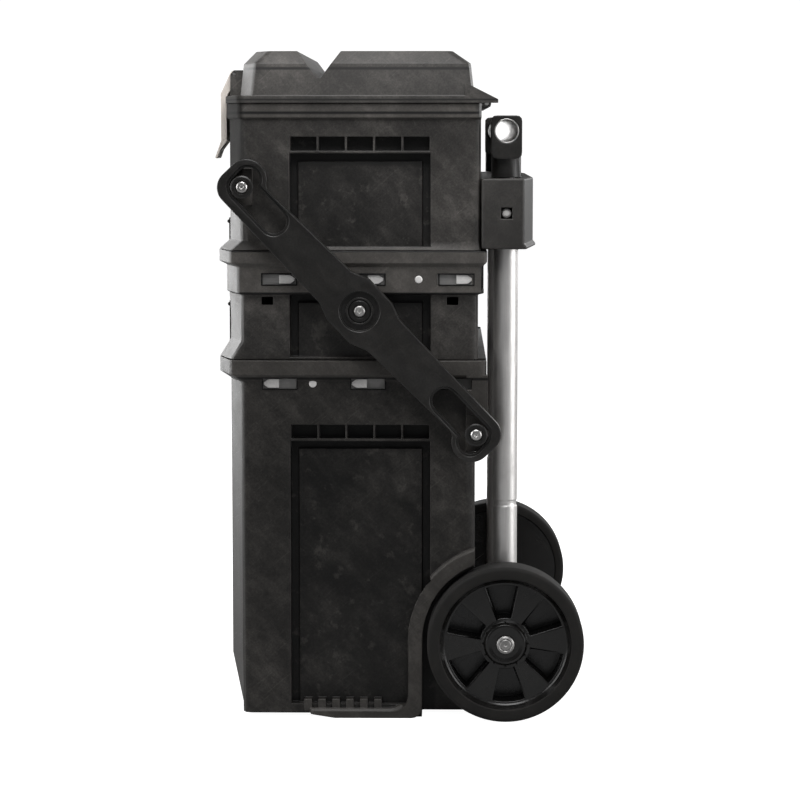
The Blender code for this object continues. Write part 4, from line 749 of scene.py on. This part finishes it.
# %% Tyres
rim_low, rim_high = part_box("wheel_rim_right")
rim_radius = (rim_high.y - rim_low.y) / 2
wheel_radius = radius_of("tyre_right")
wheel_in, wheel_out = reach_x("tyre_right")
wheel_centre = axis_place("tyre_right")
axle_y, axle_z = wheel_centre[1:]
shoulder = 0.0045
face_inner = wheel_radius - 0.0130
for side, sign in sides:
    section = [
        (rim_radius + 0.0002, wheel_in),
        *arc(wheel_radius - shoulder, wheel_in + shoulder, shoulder, -90, 90, 8),
        *arc(wheel_radius - shoulder, wheel_out - shoulder, shoulder, 0, 90, 8),
        (face_inner, wheel_out), (face_inner - 0.0012, wheel_out - 0.0024),
        (rim_radius + 0.0002, wheel_out - 0.0024),
    ]
    tyre = turned(f"tyre_rubber_{side}", section, rubber, wheel_centre, 128, sign=sign)
    dress(tyre, f"tyre_{side}", f"wheel_{side}")
print("tyre radius:", round(wheel_radius, 4))

# %% Rims with six spokes
spoke_count = 6
first_spoke = 3.5
window_share = 0.53
window_inner = 0.0285
window_outer = 0.0655
hub_radius = 0.0230
bush_hole = 0.0096
rim_edge = 0.0009
web_front = wheel_out - 0.0110
well_floor = wheel_in + 0.0045


def rim_window(name, middle):
    """The cutter of one opening: a wedge with arcs at both ends, about an angle in degrees."""
    half = 180 / spoke_count * window_share
    outline = [
        *arc(axle_y, axle_z, window_outer, middle - half, 2 * half, 8),
        *arc(axle_y, axle_z, window_inner, middle + half, -2 * half, 8),
    ]
    shape = bmesh.new()
    rings = [[shape.verts.new((x, *spot)) for spot in outline]
             for x in (well_floor, web_front + 0.004)]
    count = len(rings[0])
    shape.faces.new(rings[0])
    shape.faces.new(list(reversed(rings[1])))
    for index in range(count):
        after = (index + 1) % count
        shape.faces.new((rings[0][index], rings[1][index], rings[1][after], rings[0][after]))
    return object_from(name, shape, wheel_plastic)


rim_section = [
    (rim_radius - 0.0001, wheel_in + 0.0015), (rim_radius - 0.0001, wheel_out - 0.0022),
    (rim_radius - 0.0016, wheel_out - 0.0010), (rim_radius - 0.0070, web_front + 0.0016),
    (rim_radius - 0.0086, web_front),
    (hub_radius + 0.0040, web_front), (hub_radius + 0.0012, web_front + 0.0012),
    (hub_radius, web_front + 0.0040), (hub_radius - 0.0012, wheel_out - 0.0050),
    (hub_radius - 0.0034, wheel_out - 0.0044), (bush_hole + 0.0060, wheel_out - 0.0056),
    (bush_hole, wheel_out - 0.0056), (bush_hole, wheel_in + 0.0026),
    (0.0145, wheel_in + 0.0026), (0.0157, wheel_in + 0.0015),
]
right_rim = turned("rim_blank", rim_section, wheel_plastic, wheel_centre, 120, 0.0010)
for index in range(spoke_count):
    middle = first_spoke + 360 / spoke_count * (index + 0.5)
    opened(right_rim, rim_window(f"rim_cutter_{index}", middle))
bevelled(right_rim, rim_edge, angle=50)
print("rim faces:", len(right_rim.data.polygons))

# %% [markdown]
# ## What repeats on the rim
#
# Short ribs stand round the hub, where the mould vents. They repeat at even steps, which is a
# task for Geometry Nodes: a circle of points, a rib on each, turned to face outwards.

# %% A ring of small blocks by Geometry Nodes
def node_tree(name, inputs):
    """A new Geometry Nodes tree with named number inputs and one geometry output."""
    tree = bpy.data.node_groups.new(name, "GeometryNodeTree")
    tree.interface.new_socket("Geometry", in_out="OUTPUT", socket_type="NodeSocketGeometry")
    for label, kind in inputs:
        tree.interface.new_socket(label, in_out="INPUT", socket_type=kind)
    return tree


def grown_mesh(name, tree, values, finish):
    """Run a tree with these inputs and keep its result as a plain mesh."""
    holder = linked(name, bpy.data.meshes.new(name))
    modifier = holder.modifiers.new("Grow", "NODES")
    modifier.node_group = tree
    for socket in tree.interface.items_tree:
        if socket.item_type == "SOCKET" and socket.in_out == "INPUT" and socket.name in values:
            modifier[socket.identifier] = values[socket.name]
    modifiers_applied(holder)
    holder.data.materials.clear()
    holder.data.materials.append(finish)
    holder.data.set_sharp_from_angle(angle=math.radians(40))
    return holder


def close_tree(tree, geometry):
    """Make the copies real and lead them to the tree's output."""
    real = add_node(tree, "GeometryNodeRealizeInstances", {}, {"Geometry": geometry})
    add_node(tree, "NodeGroupOutput", {}, {0: real.outputs[0]})
    return tree


def row_tree(name, inputs):
    """A tree that begins with a row of points, given by first place, pitch and count."""
    tree = node_tree(name, (
        ("First", "NodeSocketVector"), ("Pitch", "NodeSocketVector"), ("Count", "NodeSocketInt"),
        *inputs))
    given = tree.nodes.new("NodeGroupInput").outputs
    row = add_node(tree, "GeometryNodeMeshLine", {"mode": "OFFSET"}, {
        "Count": given["Count"], "Start Location": given["First"], "Offset": given["Pitch"]})
    return tree, given, row.outputs[0]


def ring_tree():
    """Blocks at even steps round an axis along X."""
    tree = node_tree("ring_of_ribs", (
        ("Count", "NodeSocketInt"), ("Radius", "NodeSocketFloat"), ("Size", "NodeSocketVector"),
        ("Centre", "NodeSocketVector")))
    given = tree.nodes.new("NodeGroupInput").outputs
    circle = add_node(tree, "GeometryNodeMeshCircle", {}, {
        "Vertices": given["Count"], "Radius": given["Radius"]})
    rib = add_node(tree, "GeometryNodeMeshCube", {}, {"Size": given["Size"]})
    spot = add_node(tree, "GeometryNodeInputPosition", {}, {})
    face = add_node(tree, "FunctionNodeAlignRotationToVector", {"axis": "X"}, {
        "Vector": spot.outputs[0]})
    copies = add_node(tree, "GeometryNodeInstanceOnPoints", {}, {
        "Points": circle.outputs[0], "Instance": rib.outputs[0], "Rotation": face.outputs[0]})
    stand = add_node(tree, "GeometryNodeTransform", {}, {
        "Geometry": copies.outputs[0], "Translation": given["Centre"],
        "Rotation": (0, math.pi / 2, 0)})
    return close_tree(tree, stand.outputs[0])


hub_ribs = ring_tree()
print("ring tree nodes:", len(hub_ribs.nodes))

# %% Dress both wheels
rib_count = 12
rib_size = (0.0016, 0.0018, 0.0060)
rib_edge = 0.0003
mirror_x = Matrix.Scale(-1, 4, (1, 0, 0))
for side, sign in sides:
    ribs = grown_mesh(f"hub_ribs_{side}", hub_ribs, {
        "Count": rib_count, "Radius": hub_radius + 0.0028, "Size": rib_size,
        "Centre": (sign * (web_front + 0.0004), axle_y, axle_z),
    }, wheel_plastic)
    bevelled(ribs, rib_edge, 1, 40)
    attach(ribs, f"wheel_{side}")
    shape = bmesh.new()
    shape.from_mesh(right_rim.data)
    if sign < 0:
        bmesh.ops.transform(shape, matrix=mirror_x, verts=shape.verts)
    rim = object_from(f"wheel_rim_moulding_{side}", shape, wheel_plastic)
    evened(rim)
    dress(rim, f"wheel_rim_{side}", f"wheel_{side}")
bpy.data.objects.remove(right_rim)
print("hub ribs on each wheel:", rib_count)

# %% Bushes, axle and caps
axle_low, axle_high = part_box("axle")
axle_radius = radius_of("axle")
bush_flange = 0.0130
bush_wall = 0.0030
axle = turned("axle_steel", [
    (0, axle_low.x), (axle_radius, axle_low.x), (axle_radius, axle_high.x), (0, axle_high.x),
], zinc_metal, wheel_centre, 48, 0.0008)
dress(axle, "axle", "upper_box")
for side, sign in sides:
    start, end = reach_x(f"wheel_bush_{side}")
    bore = axle_radius + 0.0003
    bush = turned(f"wheel_bush_moulding_{side}", [
        (bore, start), (bush_flange, start), (bush_flange, start + 0.0032),
        (bore + bush_wall, start + 0.0033), (bore + bush_wall, end), (bore, end),
    ], bush_plastic, wheel_centre, 48, 0.0003, sign=sign)
    dress(bush, f"wheel_bush_{side}", f"wheel_{side}")
    start, end = reach_x(f"axle_cap_{side}")
    cap_radius = radius_of(f"axle_cap_{side}")
    cap = turned(f"axle_cap_pressing_{side}", [
        (bore, start), (cap_radius, start), (cap_radius, end - 0.0016),
        (cap_radius - 0.0022, end - 0.0002), (cap_radius - 0.0034, end - 0.0012),
        (cap_radius - 0.0044, end - 0.0004), (0.0018, end), (0.0010, end - 0.0006),
        (0, end - 0.0006), (0, end - 0.0012), (bore, end - 0.0012),
    ], cap_metal, wheel_centre, 64, sign=sign)
    dress(cap, f"axle_cap_{side}", "upper_box")
print("axle length:", round(axle_high.x - axle_low.x, 4))

# %% [markdown]
# ## Handle frame
#
# Two aluminium tubes run from the axle up into the moulded housing. Near the wheels each has a
# shallow crimp, where the photo shows a dark ring. The inner tubes slide in them and carry the
# crossbar in two moulded brackets.

# %% Tubes and plugs
drill_radius = 0.0040
drill_length = 0.0180


def drilled(tube, sign, start, place_y, place_z):
    """Drill the button's hole through the outer wall of a tube."""
    opened(tube, turned(f"{tube.name}_drill", [
        (0, start), (drill_radius, start), (drill_radius, start + drill_length),
        (0, start + drill_length),
    ], tube_metal, (0, place_y, place_z), 32, 0.0001, sign=sign))
    tube.data.set_sharp_from_angle(angle=math.radians(turned_sharp))


crimp_z = 0.238
crimp_half = 0.0040
crimp_depth = 0.0010
tube_wall = 0.0014
button_y, button_z = axis_place("lock_button_right")[1:]
handle_travel = 0.360
plug_edge = 0.0004
for side, sign in sides:
    low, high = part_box(f"outer_tube_{side}")
    place = ((low.x + high.x) / 2, (low.y + high.y) / 2, 0)
    radius = (high.x - low.x) / 2
    bore = radius - tube_wall
    tube = turned(f"outer_tube_drawn_{side}", [
        (radius, high.z), (radius, crimp_z + crimp_half),
        (radius - crimp_depth * 0.8, crimp_z + crimp_half * 0.55), (radius - crimp_depth, crimp_z),
        (radius - crimp_depth * 0.8, crimp_z - crimp_half * 0.55),
        (radius, crimp_z - crimp_half), (radius, low.z), (bore, low.z), (bore, high.z),
    ], tube_metal, place, 72, 0.0005, "Z")
    drilled(tube, sign, abs(place[0]), place[1], button_z)
    dress(tube, f"outer_tube_{side}", "upper_box")
    low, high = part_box(f"inner_tube_{side}")
    radius = (high.x - low.x) / 2
    bore = radius - tube_wall
    tube = turned(f"inner_tube_drawn_{side}", [
        (radius, high.z), (radius, low.z), (bore, low.z), (bore, high.z),
    ], tube_metal, place, 64, axis="Z")
    for hole_z in (button_z, button_z - handle_travel):
        drilled(tube, sign, abs(place[0]), place[1], hole_z)
    dress(tube, f"inner_tube_{side}", "handle")
    plug = f"tube_foot_{side}"
    dress(moulded(plug, bracket_plastic, plug_edge), plug, "upper_box")
print("tube radius:", round(radius, 4))

# %% Crossbar, brackets and housing
bar_low, bar_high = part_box("handle_crossbar")
bar_radius = radius_of("handle_crossbar")
bar_wall = 0.0013
bracket_edge = 0.0009
housing_edge = 0.0010
crossbar = turned("handle_crossbar_tube", [
    (bar_radius, bar_low.x), (bar_radius, bar_high.x), (bar_radius - bar_wall, bar_high.x),
    (bar_radius - bar_wall, bar_low.x),
], bar_metal, axis_place("handle_crossbar"), 72)
dress(crossbar, "handle_crossbar", "handle")
for side, sign in sides:
    bracket = f"handle_bracket_{side}"
    dress(moulded(bracket, bracket_plastic, bracket_edge, angle=34), bracket, "handle")
button_window = (0.0200, 0.0124, 0.0124)
button_window_x = 0.2500
windows = []
for side, sign in sides:
    shape = bmesh.new()
    bmesh.ops.create_cube(shape, size=1)
    bmesh.ops.scale(shape, vec=button_window, verts=shape.verts)
    bmesh.ops.translate(
        shape, vec=(sign * button_window_x, button_y, button_z), verts=shape.verts)
    windows.append(object_from(f"button_window_{side}", shape, housing_plastic))
housing = moulded("handle_housing", housing_plastic, housing_edge, 3, 34, windows)
dress(housing, "handle_housing", "upper_box")
print("crossbar length:", round(bar_high.x - bar_low.x, 4))

# %% Lock buttons
stem = 0.0035
crown = 0.0055
for side, sign in sides:
    start, end = reach_x(f"lock_button_{side}")
    button = turned(f"lock_button_dome_{side}", [
        (0, start), (stem, start), (stem, end - 0.0052), (crown, end - 0.0052),
        (crown, end - 0.0036), (crown * 0.86, end - 0.0016), (crown * 0.55, end - 0.0004),
        (0, end),
    ], tongue_metal, axis_place(f"lock_button_{side}"), sign=sign)
    dress(button, f"lock_button_{side}", f"lock_button_{side}")
print("buttons:", 2)

# %% [markdown]
# ## Slides seen through their windows
#
# Behind the side walls run the steel slides. Each wall has three windows, and in each window a
# bright spring tongue with a tapered tip lies on the darker rail. One rivet head shows between the
# windows. A near-black frame in each window stands for the shade at its set-back edges: painted
# shade. Two small trees set the tongues and these dark frames at every window.

# %% Tongue tree
first_window_y = -0.149
window_pitch = 0.0975
window_length = 0.0380
window_height = 0.0120
tongue_length = 0.0170
tongue_height = 0.0098
tongue_thick = 0.0013
tongue_edge = 0.00035
straight_share = 0.20
tip_slope = 2.4


def tongue_tree():
    """A row of tongues along Y, each with a tapered tip."""
    tree, given, row = row_tree("window_tongues", (
        ("Size", "NodeSocketVector"), ("Tip", "NodeSocketFloat")))
    body = add_node(tree, "GeometryNodeMeshCube", {}, {
        "Size": given["Size"], "Vertices X": 2, "Vertices Y": 8, "Vertices Z": 4})
    spot = add_node(tree, "GeometryNodeInputPosition", {}, {})
    axes = add_node(tree, "ShaderNodeSeparateXYZ", {}, {0: spot.outputs[0]})
    size = add_node(tree, "ShaderNodeSeparateXYZ", {}, {0: given["Size"]})
    across, length, width = (Wire(tree, socket) for socket in axes.outputs)
    share = length.math("DIVIDE", length, Wire(tree, size.outputs[1]))
    taper = share.math("MAXIMUM", share * Wire(tree, given["Tip"]) - straight_share, 0.0)
    narrow = width * (1 - taper * tip_slope)
    place = add_node(tree, "ShaderNodeCombineXYZ", {}, {0: across, 1: length, 2: narrow})
    shaped = add_node(tree, "GeometryNodeSetPosition", {}, {
        "Geometry": body.outputs[0], "Position": place.outputs[0]})
    copies = add_node(tree, "GeometryNodeInstanceOnPoints", {}, {
        "Points": row, "Instance": shaped.outputs[0]})
    return close_tree(tree, copies.outputs[0])


tongues = tongue_tree()
print("tongue tree nodes:", len(tongues.nodes))


# %% Tree of the painted shade frames
def shade_frame_tree():
    """A row of narrow dark frames in the YZ plane, one in each window, as painted shade at its
    edges.
    """
    tree, given, row = row_tree("window_shade_frames", (
        ("Length", "NodeSocketFloat"), ("Height", "NodeSocketFloat"), ("Bar", "NodeSocketFloat")))
    outline = add_node(tree, "GeometryNodeCurvePrimitiveQuadrilateral", {}, {
        "Width": given["Length"], "Height": given["Height"]})
    section = add_node(tree, "GeometryNodeCurvePrimitiveCircle", {}, {
        "Resolution": 8, "Radius": given["Bar"]})
    swept = add_node(tree, "GeometryNodeCurveToMesh", {}, {
        "Curve": outline.outputs[0], "Profile Curve": section.outputs[0]})
    stand = add_node(tree, "GeometryNodeTransform", {}, {
        "Geometry": swept.outputs[0], "Rotation": (math.pi / 2, 0, math.pi / 2)})
    copies = add_node(tree, "GeometryNodeInstanceOnPoints", {}, {
        "Points": row, "Instance": stand.outputs[0]})
    return close_tree(tree, copies.outputs[0])


shade_frame_group = shade_frame_tree()
print("frame tree nodes:", len(shade_frame_group.nodes))

# %% Tongues, painted shade frames and rivets
window_count = 3
shade_frame_rise = 0.0032
wall_rise = 0.0033
shade_frame_bar = 0.0010
rivet_radius = 0.0042
rivet_spots = {"bin": -0.0935, "tray": 0.0235}
for body, towards, lead in (("bin", -1, 0.0095), ("tray", 1, window_length - 0.0105)):
    for side, sign in sides:
        face = reach_x(f"{body}_rail_{side}")[1]
        middle_z = axis_place(f"{body}_rail_{side}")[2]
        row = grown_mesh(f"{body}_window_tongues_{side}", tongues, {
            "First": (sign * (face + tongue_thick / 2 + 0.0002), first_window_y + lead, middle_z),
            "Pitch": (0.0, window_pitch, 0.0), "Count": window_count, "Tip": float(towards),
            "Size": (tongue_thick, tongue_length, tongue_height),
        }, tongue_metal)
        bevelled(row, tongue_edge, 2, 30)
        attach(row, body)
        shade_lips = grown_mesh(f"{body}_window_frames_{side}", shade_frame_group, {
            "First": (sign * (face + shade_frame_rise), first_window_y + window_length / 2, middle_z),
            "Pitch": (0.0, window_pitch, 0.0), "Count": window_count, "Bar": shade_frame_bar,
            "Length": window_length + 0.0004, "Height": window_height + 0.0004,
        }, window_shade_plastic)
        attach(shade_lips, body)
        wall = face + wall_rise
        rivet = turned(f"{body}_rivet_{side}", [
            (0, wall - 0.0004), (rivet_radius, wall - 0.0004), (rivet_radius, wall + 0.0003),
            (rivet_radius - 0.0010, wall + 0.0010), (0, wall + 0.0012),
        ], tongue_metal, (0, rivet_spots[body], middle_z), 32, 0.0003, sign=sign)
        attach(rivet, body)
print("windows with tongues:", 4 * window_count)

# %% [markdown]
# ## CAD nodes that stay as they are
#
# The slides, the pins and the rails keep their CAD shape. They only get their finish.

# %% Finishes on the remaining CAD nodes
steel_nodes = ["lid_hinge_pin", "tray_latch_pin", "box_latch_pin"]
slide_nodes = []
for side, sign in sides:
    steel_nodes += [f"lid_latch_pin_{side}"]
    slide_nodes += [f"{kind}_{side}" for kind in (
        "bin_rail", "bin_slide_middle", "bin_runner",
        "tray_rail", "tray_slide_middle", "tray_runner")]
for names, finish in ((slide_nodes, slide_metal), (steel_nodes, zinc_metal)):
    for name in names:
        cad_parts[name].data.materials.clear()
        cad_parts[name].data.materials.append(finish)
print("CAD nodes kept:", len(steel_nodes) + len(slide_nodes))

# %% [markdown]
# ## Floor, light and camera
#
# The photo is a product shot on plain white. A pale floor keeps a soft shadow, and a share of
# plain white seen by the camera alone lifts it to the background's tone. Broad soft panels stand
# before and behind the box and above it, with only a weak one beside the camera, since the side
# that faces the camera is darker than the edges. The last panel shines through the crossbar.

# %% Floor and world
floor_colour = (0.42, 0.42, 0.42, 1)
floor_glow = 0.97
room_colour = (0.95, 0.97, 1.0, 1)
room_strength = 0.13
white_strength = 1.06
floor_half = 30.0


def seen_white(tree, usual, shown):
    """One shader for the light in the scene and another one for what the camera sees."""
    seen = add_node(tree, "ShaderNodeLightPath", {}, {})
    choice = add_node(tree, "ShaderNodeMixShader", {}, {
        0: seen.outputs["Is Camera Ray"], 1: usual.outputs[0], 2: shown.outputs[0]})
    return choice.outputs[0]


def white_stage():
    """A matt grey floor that looks nearly white to the camera."""
    made = bpy.data.materials.new("pale_floor")
    made.use_nodes = True
    tree = made.node_tree
    tree.nodes.clear()
    matt = add_node(tree, "ShaderNodeBsdfDiffuse", {}, {"Color": floor_colour})
    glow = add_node(tree, "ShaderNodeEmission", {}, {"Strength": floor_glow})
    both = add_node(tree, "ShaderNodeAddShader", {}, {0: matt.outputs[0], 1: glow.outputs[0]})
    add_node(tree, "ShaderNodeOutputMaterial", {}, {0: seen_white(tree, matt, both)})
    return made


floor_shape = bmesh.new()
bmesh.ops.create_grid(floor_shape, x_segments=1, y_segments=1, size=floor_half)
floor = object_from("floor", floor_shape, white_stage())

world = bpy.data.worlds.new("studio")
bpy.context.scene.world = world
world.use_nodes = True
sky = world.node_tree
room = sky.nodes["Background"]
room.inputs["Color"].default_value = room_colour
room.inputs["Strength"].default_value = room_strength
white = add_node(sky, "ShaderNodeBackground", {}, {
    "Color": (1, 1, 1, 1), "Strength": white_strength})
sky.links.new(seen_white(sky, room, white), sky.nodes["World Output"].inputs[0])
print("stage is set")


# %% Lamps
def soft_panel(name, place, aim, width, height, power):
    """A rectangular area lamp that faces a point."""
    lamp = bpy.data.lights.new(name, "AREA")
    lamp.shape = "RECTANGLE"
    lamp.size = width
    lamp.size_y = height
    lamp.energy = power
    made = linked(name, lamp)
    made.location = place
    made.rotation_euler = (Vector(aim) - Vector(place)).to_track_quat("-Z", "Y").to_euler()
    return made


middle = (0.0, 0.0, 0.38)
soft_panel("front_panel", (0.7, -2.4, 1.0), middle, 1.4, 2.0, 37)
soft_panel("far_front_panel", (-1.9, -1.7, 0.7), middle, 1.6, 2.2, 56)
soft_panel("top_panel", (0.75, 0.0, 1.60), (0.2, 0, 0.60), 0.8, 1.0, 17)
soft_panel("camera_panel", (2.6, 0.6, 1.9), middle, 1.2, 1.0, 3)
soft_panel("rear_panel", (0.9, 2.6, 0.8), middle, 1.4, 2.0, 40)
soft_panel("far_rear_panel", (-1.8, 1.8, 1.4), middle, 1.4, 1.6, 34)
crossbar_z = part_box("handle_crossbar")[0].z
bore_y = -0.20
bore_panel = soft_panel(
    "bore_panel", (-1.5, bore_y, crossbar_z), (0, bore_y, crossbar_z), 0.64, 0.5, 2.5)
bore_panel.visible_camera = False
print("lamps:", 7)

# %% [markdown]
# ## Camera
#
# The photo's camera stands near the height of the lid, and its picture is shifted downwards. A
# small tilt does nearly the same here and keeps the whole object in the picture in turned views.

# %% Camera at the photo's angle
focal_length = 120.5
camera_place = (3.20, 0.053, 0.652)
camera_aim = (-1.0, -0.0170, -0.1005)
camera_data = bpy.data.cameras.new("camera")
camera_data.lens = focal_length
camera = linked("camera", camera_data)
camera.location = camera_place
camera.rotation_euler = Vector(camera_aim).to_track_quat("-Z", "Y").to_euler()
bpy.context.scene.camera = camera
bpy.context.scene.view_settings.view_transform = "Standard"
print("camera is in place")
